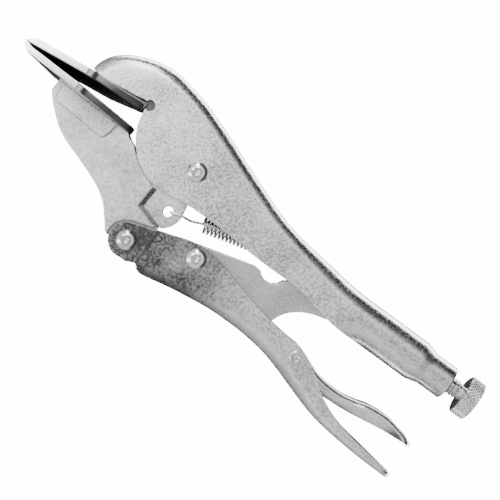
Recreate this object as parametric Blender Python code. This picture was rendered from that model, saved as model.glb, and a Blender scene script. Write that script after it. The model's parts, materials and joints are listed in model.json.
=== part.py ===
"""Locking pliers for sheet metal: two wide flat blades, an over-centre toggle and an adjusting screw.

Drawn in millimetres in the plier plane, X along the adjusting screw towards its knob, Y towards the
fixed handle, Z square to the plane.  (0, 0) is the main pivot; the origin empty then moves everything
so that the world origin is the middle of the whole tool.
"""
import math

import bmesh
import bpy
from mathutils import Vector

for obj in list(bpy.data.objects):
    bpy.data.objects.remove(obj, do_unlink=True)

MM = 0.001

# ---------------------------------------------------------------- driving sizes, mm and degrees
SHEET = 2.2              # sheet that the handles are pressed from
BODY_HALF = 7.75         # half width of the fixed handle's channel
HANDLE_HALF = 8.4        # half width of the movable handle's channel
JAW_HALF = 7.0           # half thickness of the movable jaw's forging
LINK_HALF = 2.8          # half thickness of the toggle link
LEVER_SHEET = 1.8
LEVER_FLARE = 0.8        # how much wider each side of the lever's tail is

BLADE_WIDTH = 79.4
BLADE_DEPTH = 28.0       # depth of the full width, before the sides slope in
BLADE_THICK = 2.6
BLADE_CORNER = 5.0
BLADE_BEVEL = 3.0        # run of the bevel behind each lip
ROOT_THICK = 3.5         # the fixed blade is thicker where it runs under the hook
JAW_REACH = 72.6         # lips to main pivot
THROAT = 28.6            # throat to main pivot
FIXED_END = 30.0         # rear end of the fixed blade, in front of the relief hole
LIP_HEIGHT = 0.8         # fixed blade's lip above the main pivot
FIXED_SLOPE = 6.9        # slope of the fixed blade's grip face
MOVING_SLOPE = -1.3      # slope of the movable blade's grip face
CHEEK_THICK = 1.0

BARREL_R = 8.0
NECK_R = 6.6
SCREW_AXIS = -7.8        # height of the screw's axis over the main pivot
BARREL_END = 106.0
NECK_START = 112.4
NECK_END = 121.0
SCREW_R = 3.5
SCREW_SHOWN = 6.0        # thread between the neck and the knob
KNOB_R = 8.0
KNOB_WIDTH = 6.0

RIVET_R = 2.6
RIVET_HEAD_R = 3.9
RIVET_HEAD = 1.4
LEVER_PIN_R = 2.0
LEVER_PIN_BORE = 0.9
EAR_R = 6.7              # round front end of the movable handle's ears
EYE_R = 5.4              # round end of the toggle link
TANG_R = 9.5             # the movable jaw around the main pivot
NOSE_R = 4.0             # round end of the link that bears on the screw
RELIEF_R = 2.1           # relief hole at the corner of the throat
SPRING_HOLE_R = 2.0
WIRE_R = 0.45
COIL_R = 2.3             # mean radius of the spring's coil
COIL_PITCH = 1.5
ANCHOR_R = 1.2

GAP = 0.3                # between pieces that touch or lie side by side
RUN_GAP = 0.2            # round a pivot
SWING_GAP = 0.5          # round an edge that another piece swings past
TIP_GAP = 4.0            # between the link's nose and the screw's tip, for the opened linkage

# ---------------------------------------------------------------- pivots
MAIN_PIVOT = Vector((0.0, 0.0))
JAW_RIVET = Vector((-6.3, -35.2))
TOGGLE_RIVET = Vector((18.4, -25.6))
LEVER_PIVOT = Vector((68.9, -33.2))
LINK_NOSE = Vector((80.7, SCREW_AXIS))
SPRING_HOLE = Vector((-0.3, -17.8))
SPRING_ANCHOR = Vector((44.5, -5.5))
TAB_END = Vector((4.9, -17.8))

# ---------------------------------------------------------------- sizes that follow
BODY_IN = BODY_HALF - SHEET
TANG_HALF = BODY_IN - GAP                  # jaw and insert run inside the fixed handle
EAR_HALF = JAW_HALF + 0.1
BOSS_HALF = EAR_HALF - SHEET - GAP         # jaw between the ears
LEVER_HALF = HANDLE_HALF - SHEET - 2 * GAP # release lever inside the handle
THREAD_BORE = SCREW_R + GAP
FIXED_TAN = math.tan(math.radians(FIXED_SLOPE))
MOVING_TAN = math.tan(math.radians(MOVING_SLOPE))
KNOB_START = NECK_END + SCREW_SHOWN
BLADE_HALF = BLADE_WIDTH / 2


def fixed_grip(x):
    """Height of the fixed blade's grip face."""
    return LIP_HEIGHT + FIXED_TAN * (x + JAW_REACH)


def moving_grip(x):
    """Height of the movable blade's grip face, shut."""
    return LIP_HEIGHT - GAP + MOVING_TAN * (x + JAW_REACH)


FIXED_BACK = BLADE_THICK / math.cos(math.radians(FIXED_SLOPE))
ROOT_BACK = ROOT_THICK / math.cos(math.radians(FIXED_SLOPE))
MOVING_BACK = BLADE_THICK / math.cos(math.radians(MOVING_SLOPE))

# ---------------------------------------------------------------- helpers
origin = bpy.data.objects.new("origin", None)
bpy.context.collection.objects.link(origin)


def pivot_empty(name, at, parent, parent_at):
    empty = bpy.data.objects.new(name, None)
    empty.location = ((at.x - parent_at.x) * MM, (at.y - parent_at.y) * MM, 0)
    empty.parent = parent
    bpy.context.collection.objects.link(empty)
    return empty


main_axis = pivot_empty("main_axis", MAIN_PIVOT, origin, MAIN_PIVOT)
jaw_axis = pivot_empty("jaw_axis", JAW_RIVET, main_axis, MAIN_PIVOT)
toggle_axis = pivot_empty("toggle_axis", TOGGLE_RIVET, jaw_axis, JAW_RIVET)
lever_axis = pivot_empty("lever_axis", LEVER_PIVOT, jaw_axis, JAW_RIVET)
screw_axis = pivot_empty("screw_axis", Vector((NECK_END, SCREW_AXIS)), origin, MAIN_PIVOT)
AXIS_AT = {
    origin: MAIN_PIVOT,
    main_axis: MAIN_PIVOT,
    jaw_axis: JAW_RIVET,
    toggle_axis: TOGGLE_RIVET,
    lever_axis: LEVER_PIVOT,
    screw_axis: Vector((NECK_END, SCREW_AXIS)),
}


def metal(name, colour, roughness, metallic=1.0):
    material = bpy.data.materials.new(name)
    material.use_nodes = True
    shader = material.node_tree.nodes["Principled BSDF"]
    shader.inputs["Base Color"].default_value = (*colour, 1)
    shader.inputs["Roughness"].default_value = roughness
    shader.inputs["Metallic"].default_value = metallic
    return material


def new_object(name, verts, faces, axis, smooth=30):
    """A mesh from points in mm in the drawing, hung on the empty at its axis."""
    at = AXIS_AT[axis]
    mesh = bpy.data.meshes.new(name)
    mesh.from_pydata([((x - at.x) * MM, (y - at.y) * MM, z * MM) for x, y, z in verts], [], faces)
    work = bmesh.new()
    work.from_mesh(mesh)
    bmesh.ops.recalc_face_normals(work, faces=work.faces)
    work.to_mesh(mesh)
    work.free()
    mesh.shade_smooth()
    mesh.set_sharp_from_angle(angle=math.radians(smooth))
    obj = bpy.data.objects.new(name, mesh)
    obj.parent = axis
    bpy.context.collection.objects.link(obj)
    return obj


def finish(obj, colour, roughness):
    obj.data.materials.append(metal(obj.name, colour, roughness))
    return obj


def boolean(obj, tool, operation):
    tool.hide_render = True
    tool.display_type = "WIRE"
    step = obj.modifiers.new(tool.name, "BOOLEAN")
    step.operation = operation
    step.object = tool


def bevel(obj, width, segments=1):
    step = obj.modifiers.new("edge", "BEVEL")
    step.width = width * MM
    step.segments = segments
    step.limit_method = "ANGLE"
    step.angle_limit = math.radians(50)


def arc(centre, radius, start, end, steps):
    """Points round a centre, from one angle to another in degrees."""
    angles = [math.radians(start + (end - start) * i / steps) for i in range(steps + 1)]
    return [centre + radius * Vector((math.cos(a), math.sin(a))) for a in angles]


def curve(points, steps):
    """Smooth curve through rows of numbers (Catmull-Rom), with steps to each stretch."""
    ends = [2 * points[0] - points[1]] + points + [2 * points[-1] - points[-2]]
    rows = []
    for p0, p1, p2, p3 in zip(ends, ends[1:], ends[2:], ends[3:]):
        for i in range(steps):
            t = i / steps
            rows.append(
                0.5 * (2 * p1 + (p2 - p0) * t + (2 * p0 - 5 * p1 + 4 * p2 - p3) * t**2
                       + (3 * p1 - p0 - 3 * p2 + p3) * t**3)
            )
    return rows + [points[-1]]


def prism(name, outline, half, axis, top=None, smooth=30):
    """A flat outline made solid from -half to +half in Z; top may be a different outline."""
    count = len(outline)
    verts = [(*p, -half) for p in outline] + [(*p, half) for p in (top or outline)]
    sides = [(i, (i + 1) % count, count + (i + 1) % count, count + i) for i in range(count)]
    faces = [tuple(range(count)), tuple(range(count, 2 * count)), *sides]
    return new_object(name, verts, faces, axis, smooth)


def post(name, at, radius, half, axis, sides=24):
    return prism(name, arc(at, radius, 0, 360 - 360 / sides, sides - 1), half, axis)


def turned_z(name, at, profile, axis, sides=24):
    """A closed profile of (radius, z) turned about an axis square to the plier plane."""
    verts, faces, count = [], [], len(profile)
    for i in range(sides):
        angle = 2 * math.pi * i / sides
        verts += [(at.x + r * math.cos(angle), at.y + r * math.sin(angle), z) for r, z in profile]
    for i in range(sides):
        for k in range(count):
            a, b = i * count, (i + 1) % sides * count
            faces.append((a + k, a + (k + 1) % count, b + (k + 1) % count, b + k))
    return new_object(name, verts, faces, axis)


def turned_x(name, profile, sides=32):
    """A closed profile of (x, radius) turned about the adjusting screw's axis; radius 0 is a tip."""
    verts, rings, faces = [], [], []
    for x, r in profile:
        ring = []
        for i in range(sides if r else 1):
            angle = 2 * math.pi * i / sides
            ring.append(len(verts))
            verts.append((x, SCREW_AXIS + r * math.cos(angle), r * math.sin(angle)))
        rings.append(ring)
    closed = profile[0][1] > 0
    pairs = list(zip(rings, rings[1:])) + ([(rings[-1], rings[0])] if closed else [])
    for one, two in pairs:
        for i in range(sides):
            k = (i + 1) % sides
            corners = [one[i % len(one)], one[k % len(one)], two[k % len(two)], two[i % len(two)]]
            faces.append(tuple(dict.fromkeys(corners)))
    return new_object(name, verts, faces, screw_axis)


# ---------------------------------------------------------------- pressed sheet
WALL_STEPS = 3
CORNER_STEPS = 5
SEAM = 0.3               # half width of the seam under the barrel
CORNER_MARGIN = 0.3      # a corner's radius stays this much under the half width
CORNER_SHARE = 0.85      # and under this share of the depth
INNER_CORNER = 0.5       # least radius inside a corner


def half_section(depth, half, corner, seam, close, lean):
    """One side of a pressed channel as (depth from the back, z), open edge first.

    close bends the wall under into a round tube; lean brings the open edge in.
    """
    points = []
    last = math.pi - math.asin(min(1.0, seam / half))
    for i in range(WALL_STEPS + 1):
        t = i / WALL_STEPS
        turn = last + (math.pi / 2 - last) * t
        straight = Vector((depth + (corner - depth) * t, half - lean * (1 - t)))
        tube = Vector((half - half * math.cos(turn), half * math.sin(turn)))
        points.append(straight.lerp(tube, close))
    for i in range(1, CORNER_STEPS + 1):
        turn = math.pi / 2 * (1 - i / CORNER_STEPS)
        across = half - corner + corner * math.sin(turn)
        points.append(Vector((corner - corner * math.cos(turn), across)))
    return points


def channel(name, stations, axis, smooth=30):
    """Pressed channel through stations, each a back point, an edge point and the section's sizes.

    A station is (back x, back y, edge x, edge y, half width, corner, sheet, close, lean).
    """
    verts, faces, count = [], [], 4 * (WALL_STEPS + CORNER_STEPS + 1)
    for bx, by, ex, ey, half, corner, sheet, close, lean in stations:
        back, edge = Vector((bx, by)), Vector((ex, ey))
        depth = (edge - back).length
        down = (edge - back) / depth
        corner = min(corner, half - CORNER_MARGIN, CORNER_SHARE * depth)
        inner_corner = max(corner - sheet, INNER_CORNER)
        outer = half_section(depth, half, corner, SEAM, close, lean)
        inner = half_section(depth - sheet, half - sheet, inner_corner, SEAM, close, lean)
        inner = [p + Vector((sheet, 0)) for p in inner]
        loop = outer + [Vector((p.x, -p.y)) for p in reversed(outer)]
        loop += [Vector((p.x, -p.y)) for p in inner] + list(reversed(inner))
        verts += [(*(back + down * p.x), p.y) for p in loop]
    for i in range(len(stations) - 1):
        for k in range(count):
            a, b = i * count, (i + 1) * count
            faces.append((a + k, a + (k + 1) % count, b + (k + 1) % count, b + k))
    for start in (0, (len(stations) - 1) * count):
        for k in range(count // 2 - 1):
            faces.append((start + k, start + k + 1, start + count - 2 - k, start + count - 1 - k))
    return new_object(name, verts, faces, axis, smooth)


def rows(*stations):
    """Stations as rows of numbers that can be added and scaled."""
    return [Row(s) for s in stations]


class Row(tuple):
    """A tuple that adds and scales item by item."""

    def __add__(self, other):
        return Row(a + b for a, b in zip(self, other))

    def __sub__(self, other):
        return Row(a - b for a, b in zip(self, other))

    def __mul__(self, k):
        return Row(a * k for a in self)

    __rmul__ = __mul__


# ---------------------------------------------------------------- fixed handle
# back of the channel, then its open edge, round the hook and down to the barrel
HOOK_EDGE = 1.3          # height of the hook's edge over the thin blade's back
HOOK_R = 5.5             # outer radius along the channel's back
SHOULDER_R = (BARREL_R + NECK_R) / 2
RELIEF_AT = Vector((-THROAT + 0.4, 9.4))


def hook_foot(x):
    return fixed_grip(x) + FIXED_BACK + HOOK_EDGE


def hook_row(bx, by, ex):
    return (bx, by, ex, hook_foot(ex), BODY_HALF, HOOK_R, SHEET, 0, 0)


def body_row(bx, by, ex, ey, corner=HOOK_R, close=0.0, half=BODY_HALF):
    return (bx, by, ex, ey, half, corner, SHEET, close, 0)


def barrel_row(x, radius, close=1.0, sheet=SHEET):
    return (x, SCREW_AXIS + radius, x, SCREW_AXIS - radius, radius, radius, sheet, close, 0)


hook = rows(
    hook_row(-53.2, 8.3, -49.3),
    hook_row(-52.6, 12.0, -47.6),
    hook_row(-50.2, 16.3, -45.5),
    hook_row(-45.6, 20.3, -42.0),
    hook_row(-39.6, 23.1, -38.0),
    hook_row(-33.0, 25.0, -34.0),
    hook_row(-27.0, 25.4, -30.0),
    body_row(-21.5, 24.7, -28.8, 6.0),
    body_row(-16.0, 23.6, -27.8, 1.6),
    body_row(-10.4, 22.2, -25.6, -2.9),
    body_row(-5.0, 20.4, -22.3, -6.8),
    body_row(0.5, 18.5, -17.5, -10.4),
    body_row(5.5, 16.6, -11.5, -12.6),
    body_row(11.5, 14.3, -3.5, -12.6),
    body_row(18.7, 11.6, 6.0, -11.5),
    body_row(25.6, 9.1, 16.0, -11.4),
    body_row(34.3, 6.1, 28.0, -11.9),
    body_row(42.2, 4.1, 39.8, -12.4),
    body_row(50.0, 2.9, 50.0, -12.3, corner=6.0),
    body_row(57.0, 2.2, 57.0, -12.6, corner=6.8),
    body_row(64.0, 1.3, 64.0, -13.9, corner=7.3),
    body_row(71.0, 0.5, 71.0, -15.2, corner=BARREL_R, half=7.9),
)
barrel = rows(
    barrel_row(77.0, BARREL_R, close=0.12),
    barrel_row(82.0, BARREL_R, close=0.55),
    barrel_row(87.0, BARREL_R, close=0.95),
    barrel_row(90.0, BARREL_R),
    barrel_row(BARREL_END, BARREL_R, sheet=BARREL_R - THREAD_BORE),
    barrel_row((BARREL_END + NECK_START) / 2, SHOULDER_R, sheet=SHOULDER_R - THREAD_BORE),
    barrel_row(NECK_START, NECK_R, sheet=NECK_R - THREAD_BORE),
    barrel_row(NECK_END, NECK_R, sheet=NECK_R - THREAD_BORE),
)
hook_rows = curve(hook, 2)
fixed_handle = channel("fixed_handle", hook_rows + curve(barrel, 1), origin)
for name, at, radius in (
    ("relief_cutter", RELIEF_AT, RELIEF_R),
    ("main_cutter", MAIN_PIVOT, RIVET_R + RUN_GAP),
):
    boolean(fixed_handle, post(name, at, radius, 2 * BODY_HALF, origin), "DIFFERENCE")
finish(fixed_handle, (0.72, 0.73, 0.74), 0.32)

# ---------------------------------------------------------------- insert inside the hook
INSERT_INSET = 4.6       # from the outside of the hook's back
INSERT_EDGE = 0.4        # its bevelled edges
INSERT_END = -FIXED_END - 1.0


def along(row, distance):
    back, edge = Vector(row[0:2]), Vector(row[2:4])
    return back + (edge - back).normalized() * distance


insert_back = [along(row, INSERT_INSET) for row in hook_rows[3:12]]
insert_foot = [
    Vector((x, fixed_grip(x) + ROOT_BACK + GAP)) for x in (INSERT_END, insert_back[0].x)
]
fixed_jaw = prism("fixed_jaw", insert_back + insert_foot, TANG_HALF, origin)
bevel(fixed_jaw, INSERT_EDGE)
finish(fixed_jaw, (0.62, 0.63, 0.64), 0.4)


# ---------------------------------------------------------------- blades
LIP_EDGE = 0.5           # thickness of a blade at its lip
CORNER_ARC = 4           # flats round a blade's rear corner
ROOT_SUNK = 1.0          # how deep the thicker root starts inside the blade
ROOT_INSET = 0.6         # the root is this much narrower than the hook


def blade_plan(lip, end, neck):
    """Plan of a blade as (x, z): lip, full width, rounded rear corners, sides sloping to its end."""
    rear = -JAW_REACH + BLADE_DEPTH
    corner = Vector((rear - BLADE_CORNER, BLADE_HALF - BLADE_CORNER))
    slope = math.degrees(math.atan2(BLADE_HALF - neck, -end - rear))
    side = [Vector((lip, BLADE_HALF))] + arc(corner, BLADE_CORNER, 90, 90 - slope, CORNER_ARC)
    side.append(Vector((-end, neck)))
    return side + [Vector((p.x, -p.y)) for p in reversed(side)]


def blade(name, grip, back, end, neck, axis):
    """A plate between its grip face and its back, with a bevel behind the lip."""
    grip_plan = blade_plan(-JAW_REACH, end, neck)
    back_plan = blade_plan(-JAW_REACH + BLADE_BEVEL, end, neck)
    count = len(grip_plan)
    verts = [(p.x, grip(p.x), p.y) for p in grip_plan]
    verts += [(p.x, grip(p.x) + back, p.y) for p in back_plan]
    lip = grip(-JAW_REACH) + math.copysign(LIP_EDGE, back)
    verts += [(-JAW_REACH, lip, z) for z in (BLADE_HALF, -BLADE_HALF)]
    near, far = 2 * count, 2 * count + 1
    faces = [tuple(range(count)), tuple(range(count, 2 * count))]
    faces += [(i, i + 1, count + i + 1, count + i) for i in range(1, count - 2)]
    faces += [(0, 1, count + 1, count, near), (count - 2, count - 1, far, 2 * count - 1, 2 * count - 2)]
    faces += [(count - 1, 0, near, far), (far, near, count, 2 * count - 1)]
    return new_object(name, verts, faces, axis)


upper_blade = blade("upper_blade", fixed_grip, FIXED_BACK, FIXED_END, BODY_HALF, origin)
root_start, root_end = insert_back[0].x, -FIXED_END - GAP
root = [
    Vector((root_start, fixed_grip(root_start) + ROOT_SUNK)),
    Vector((root_end, fixed_grip(root_end) + ROOT_SUNK)),
    Vector((root_end, fixed_grip(root_end) + ROOT_BACK)),
    Vector((root_start, fixed_grip(root_start) + ROOT_BACK)),
]
boolean(upper_blade, prism("root_joiner", root, BODY_HALF - ROOT_INSET, origin), "UNION")
finish(upper_blade, (0.78, 0.78, 0.79), 0.28)

lower_blade = blade("lower_blade", moving_grip, -MOVING_BACK, THROAT, JAW_HALF, main_axis)
finish(lower_blade, (0.78, 0.78, 0.79), 0.28)


# ---------------------------------------------------------------- movable jaw
def jaw_seat(x):
    """Top of the jaw's forging, under the movable blade."""
    return moving_grip(x) - MOVING_BACK - GAP


# the forging's edge follows the fixed handle's edge round the main pivot
swing_edge = []
for row in hook_rows[19:25]:
    edge = Vector(row[2:4])
    swing_edge.append(edge + edge.normalized() * SWING_GAP)
ear_slope = math.radians(19.7)   # slope of the handle's upper edge behind the ears
ear_along = Vector((math.cos(ear_slope), math.sin(ear_slope)))
ear_up = Vector((-ear_along.y, ear_along.x))
RECESS_R = EAR_R + SWING_GAP
STEP_X = -9.9            # front wall of the pocket in front of the spring's tab
POCKET_END = 8.5         # how far the forging reaches along the ears' upper edge
recess = [JAW_RIVET + ear_up * RECESS_R + ear_along * POCKET_END]
recess += arc(JAW_RIVET, RECESS_R, 90 + math.degrees(ear_slope), 200, 6)
forging = [
    Vector((-60.4, jaw_seat(-60.4))),
    Vector((-THROAT - 0.2, jaw_seat(-THROAT))),
    Vector((-26.9, -4.4)),
    *swing_edge,
    Vector((STEP_X, -13.6)),
    Vector((STEP_X - 0.4, -22.6)),
    *recess,
    Vector((-14.7, -37.0)),
    Vector((-17.6, -33.4)),
    Vector((-22.0, -28.7)),
    Vector((-28.4, -24.9)),
    Vector((-38.9, -21.1)),
    Vector((-44.9, -19.2)),
    Vector((-49.6, -16.9)),
    Vector((-53.7, -13.9)),
    Vector((-57.9, -10.1)),
    Vector((-60.6, -6.8)),
]
movable_jaw = prism("movable_jaw", forging, JAW_HALF, main_axis)
tang = [
    Vector((-22.2, -7.9)),
    Vector((-20.0, -4.5)),
    *arc(MAIN_PIVOT, TANG_R, 150, -40, 12),
    TAB_END + Vector((-0.9, 6.3)),
    TAB_END + Vector((-0.1, 2.0)),
    TAB_END,
    TAB_END + Vector((-0.5, -2.9)),
    TAB_END + Vector((-3.4, -6.5)),
    Vector((-12.0, -24.0)),
    Vector((-16.0, -16.0)),
]
boolean(movable_jaw, prism("tang_joiner", tang, TANG_HALF, main_axis), "UNION")
boss = arc(JAW_RIVET, EAR_R, -160, 85, 14) + arc(JAW_RIVET, RECESS_R + 1.0, 92, 192, 6)
boolean(movable_jaw, prism("boss_joiner", boss, BOSS_HALF, main_axis), "UNION")
for name, at, radius in (
    ("tang_cutter", MAIN_PIVOT, RIVET_R + RUN_GAP),
    ("boss_cutter", JAW_RIVET, RIVET_R + RUN_GAP),
    ("hook_cutter", SPRING_HOLE, SPRING_HOLE_R),
):
    boolean(movable_jaw, post(name, at, radius, 2 * JAW_HALF, main_axis), "DIFFERENCE")
finish(movable_jaw, (0.66, 0.67, 0.69), 0.38)

# flanges welded to both sides of the jaw under the movable blade
cheek = [
    Vector((-58.6, jaw_seat(-58.6))),
    Vector((-57.0, -9.4)),
    Vector((-36.8, -10.6)),
    Vector((-34.8, -9.6)),
    Vector((-33.4, jaw_seat(-33.4))),
]
for name, side in (("blade_cheek_near", 1), ("blade_cheek_far", -1)):
    plate = prism(name, cheek, CHEEK_THICK / 2, main_axis)
    plate.location.z = side * (JAW_HALF + GAP + CHEEK_THICK / 2) * MM
    finish(plate, (0.7, 0.71, 0.72), 0.36)

# ---------------------------------------------------------------- movable handle
TAIL_SHEET = 1.6
HANDLE_R = 5.0           # outer radius along the handle's back


def handle_row(bx, by, ex, ey, corner=HANDLE_R, half=HANDLE_HALF, sheet=SHEET):
    return (bx, by, ex, ey, half, corner, sheet, 0, 0)


def ear_top(x):
    """Upper edge of the handle along the ears."""
    start = JAW_RIVET + ear_up * EAR_R
    return start.y + math.tan(ear_slope) * (x - start.x)


EAR_END = JAW_RIVET.x + EAR_R + 0.6      # the ears widen here into the full channel
EAR_STEP = 1.6           # length of the joggle
EAR_DROP = 50.0          # the back is out of the way in front of the ears' end
front = rows(
    handle_row(-15.0, -EAR_DROP, -15.0, ear_top(-15.0), half=EAR_HALF),
    handle_row(EAR_END - 0.2, -EAR_DROP, EAR_END - 0.2, ear_top(EAR_END - 0.2), half=EAR_HALF),
)
grip = rows(
    handle_row(EAR_END + EAR_STEP, -41.7, EAR_END + EAR_STEP, ear_top(EAR_END + EAR_STEP)),
    handle_row(5.5, -42.3, 5.2, -24.1),
    handle_row(14.6, -40.5, 12.0, -21.8),
    handle_row(22.0, -39.2, 18.5, -20.7),
    handle_row(32.2, -37.9, 27.5, -21.7),
    handle_row(40.0, -37.6, 37.0, -24.0, corner=5.6),
    handle_row(48.5, -37.8, 46.5, -26.3, corner=5.8),
    handle_row(58.0, -38.9, 57.0, -28.1, corner=5.8),
    handle_row(66.0, -40.9, 66.5, -29.1, corner=5.8),
    handle_row(73.9, -43.4, 75.0, -32.0, corner=5.5),
    handle_row(81.0, -45.6, 83.0, -37.4, corner=4.6),
    handle_row(87.7, -47.2, 90.5, -41.2, corner=3.6, sheet=2.0),
    handle_row(97.0, -48.4, 99.0, -43.9, corner=2.9, sheet=1.8),
    handle_row(108.0, -49.1, 109.0, -45.3, corner=2.4, sheet=TAIL_SHEET),
    handle_row(115.5, -49.3, 116.0, -46.4, corner=1.9, half=8.0, sheet=TAIL_SHEET),
    handle_row(120.0, -49.4, 120.3, -47.0, corner=1.7, half=6.9, sheet=TAIL_SHEET),
    handle_row(122.6, -49.4, 122.8, -47.3, corner=1.6, half=4.6, sheet=TAIL_SHEET),
)
grip_rows = curve(grip, 2)
movable_handle = channel("movable_handle", front + grip_rows, jaw_axis)
ear_front = arc(JAW_RIVET, EAR_R, 90 + math.degrees(ear_slope), 285, 12)
front_cut = ear_front + [
    Vector((EAR_END - 3.0, -41.7)),
    Vector((EAR_END + 0.2, -40.1)),
    Vector((EAR_END + EAR_STEP - 0.1, -40.9)),
    Vector((EAR_END + EAR_STEP - 0.1, -EAR_DROP - 5)),
    Vector((-20.0, -EAR_DROP - 5)),
    Vector((-20.0, -20.0)),
    ear_front[0] + Vector((0, 5)),
]
boolean(movable_handle, prism("ear_cutter", front_cut, 2 * HANDLE_HALF, jaw_axis), "DIFFERENCE")
for name, at, radius in (
    ("ear_hole_cutter", JAW_RIVET, RIVET_R + RUN_GAP),
    ("toggle_hole_cutter", TOGGLE_RIVET, RIVET_R + RUN_GAP),
    ("lever_hole_cutter", LEVER_PIVOT, LEVER_PIN_R + RUN_GAP),
):
    boolean(movable_handle, post(name, at, radius, 2 * HANDLE_HALF, jaw_axis), "DIFFERENCE")
finish(movable_handle, (0.66, 0.67, 0.69), 0.36)

# ---------------------------------------------------------------- toggle link
nose = Vector((LINK_NOSE.x - NOSE_R, LINK_NOSE.y))
link_outline = arc(TOGGLE_RIVET, EYE_R, 106, 268, 12) + [
    Vector((48.0, -31.2)),
    Vector((52.6, -30.2)),
    Vector((54.4, -27.5)),
    Vector((55.6, -24.6)),
    Vector((57.6, -21.8)),
    Vector((60.8, -19.1)),
    Vector((65.0, -17.0)),
    Vector((70.1, -15.5)),
    *arc(nose, NOSE_R, -80, 90, 8),
    Vector((66.0, -4.6)),
    Vector((58.0, -7.4)),
    Vector((50.2, -12.2)),
    *arc(Vector((43.9, -12.0)), 4.9, -15, -140, 6),
    Vector((37.3, -14.8)),
]
toggle_link = prism("toggle_link", link_outline, LINK_HALF, toggle_axis)
eye_half = HANDLE_HALF - SHEET - GAP
EYE_INSET = 0.4          # the eye's boss is this much smaller than the link's round end
eye_boss = post("eye_joiner", TOGGLE_RIVET, EYE_R - EYE_INSET, eye_half, toggle_axis)
boolean(toggle_link, eye_boss, "UNION")
eye_cutter = post("eye_cutter", TOGGLE_RIVET, RIVET_R + RUN_GAP, 2 * HANDLE_HALF, toggle_axis)
boolean(toggle_link, eye_cutter, "DIFFERENCE")
finish(toggle_link, (0.72, 0.73, 0.75), 0.34)

# ---------------------------------------------------------------- release lever
LEVER_R = 2.2            # outer radius along the lever's back
LEVER_LEAN = 2.0         # how far the lower edges of the lever's tail lean in


def lever_row(bx, by, ex, ey, flare=0.0, lean=0.0, sheet=LEVER_SHEET):
    return (bx, by, ex, ey, LEVER_HALF + flare, LEVER_R, sheet, 0, lean)


lever_rows = rows(
    lever_row(56.5, -30.6, 57.0, -33.8),
    lever_row(62.0, -29.0, 62.5, -35.2),
    lever_row(66.5, -28.7, 67.0, -36.4),
    lever_row(72.0, -30.2, 71.5, -37.8),
    lever_row(80.4, -33.3, 79.0, -38.9, lean=0.3),
    lever_row(89.7, -34.0, 88.5, -38.9, lean=1.0),
    lever_row(96.0, -32.9, 96.5, -38.3, 0.3 * LEVER_FLARE, 0.8 * LEVER_LEAN, 1.6),
    lever_row(101.5, -31.4, 103.0, -37.3, LEVER_FLARE, LEVER_LEAN, 1.5),
    lever_row(109.2, -30.7, 110.8, -36.1, LEVER_FLARE, LEVER_LEAN, 1.4),
    lever_row(117.1, -31.9, 117.5, -35.6, LEVER_FLARE, 0.8 * LEVER_LEAN, 1.2),
    lever_row(120.5, -33.0, 120.7, -35.5, 0.3 * LEVER_FLARE, 0.5 * LEVER_LEAN, 1.1),
    lever_row(122.6, -33.9, 122.7, -35.7, -2.0, 0.2 * LEVER_LEAN, 1.0),
)
release_lever = channel("release_lever", curve(lever_rows, 2), lever_axis)
boolean(
    release_lever,
    post("lever_bore_cutter", LEVER_PIVOT, LEVER_PIN_R + RUN_GAP, 2 * LEVER_HALF, lever_axis),
    "DIFFERENCE",
)
finish(release_lever, (0.72, 0.73, 0.75), 0.3)

# ---------------------------------------------------------------- adjusting screw and knob
SPIGOT_R = 2.6           # end of the screw that the knob is pressed on
SPIGOT_END = KNOB_START + KNOB_WIDTH - 0.6
SCREW_TIP = LINK_NOSE.x + TIP_GAP
screw = turned_x(
    "adjusting_screw",
    [
        (SCREW_TIP, 0),
        (SCREW_TIP, SCREW_R - 1.2),
        (SCREW_TIP + 1.2, SCREW_R),
        (KNOB_START - GAP, SCREW_R),
        (KNOB_START - GAP, SPIGOT_R),
        (SPIGOT_END, SPIGOT_R),
        (SPIGOT_END, 0),
    ],
)
finish(screw, (0.6, 0.61, 0.62), 0.35)
KNOB_CHAMFER = 0.9
knob = turned_x(
    "adjusting_knob",
    [
        (KNOB_START, SPIGOT_R + GAP),
        (KNOB_START, KNOB_R - KNOB_CHAMFER),
        (KNOB_START + KNOB_CHAMFER, KNOB_R),
        (KNOB_START + KNOB_WIDTH - KNOB_CHAMFER, KNOB_R),
        (KNOB_START + KNOB_WIDTH, KNOB_R - KNOB_CHAMFER),
        (KNOB_START + KNOB_WIDTH, SPIGOT_R + GAP),
    ],
)
finish(knob, (0.62, 0.62, 0.62), 0.36)


# ---------------------------------------------------------------- rivets
def rivet(name, at, face, axis):
    """Solid rivet with a domed, dimpled head outside each wall; face is the wall's outer side."""
    base = face + RUN_GAP
    side = [
        (0.01, base + 0.5 * RIVET_HEAD),
        (0.35 * RIVET_HEAD_R, base + RIVET_HEAD),
        (0.7 * RIVET_HEAD_R, base + 0.85 * RIVET_HEAD),
        (0.95 * RIVET_HEAD_R, base + 0.4 * RIVET_HEAD),
        (RIVET_HEAD_R, base),
        (RIVET_R, base),
    ]
    body = turned_solid_z(name, at, side, axis)
    return finish(body, (0.7, 0.71, 0.72), 0.28)


def turned_solid_z(name, at, side, axis, sides=24):
    """A profile of (radius, z), centre first, and its mirror image, turned into a solid."""
    profile = side + [(r, -z) for r, z in reversed(side)]
    verts = [(at.x, at.y, profile[0][1])]
    faces = []
    for r, z in profile[1:-1]:
        for i in range(sides):
            angle = 2 * math.pi * i / sides
            verts.append((at.x + r * math.cos(angle), at.y + r * math.sin(angle), z))
    verts.append((at.x, at.y, profile[-1][1]))
    last = len(verts) - 1
    for i in range(sides):
        k = (i + 1) % sides
        faces.append((0, 1 + k, 1 + i))
        faces.append((last, last - sides + i, last - sides + k))
        for ring in range(len(profile) - 3):
            a = 1 + ring * sides
            b = a + sides
            faces.append((a + i, a + k, b + k, b + i))
    return new_object(name, verts, faces, axis)


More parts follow.
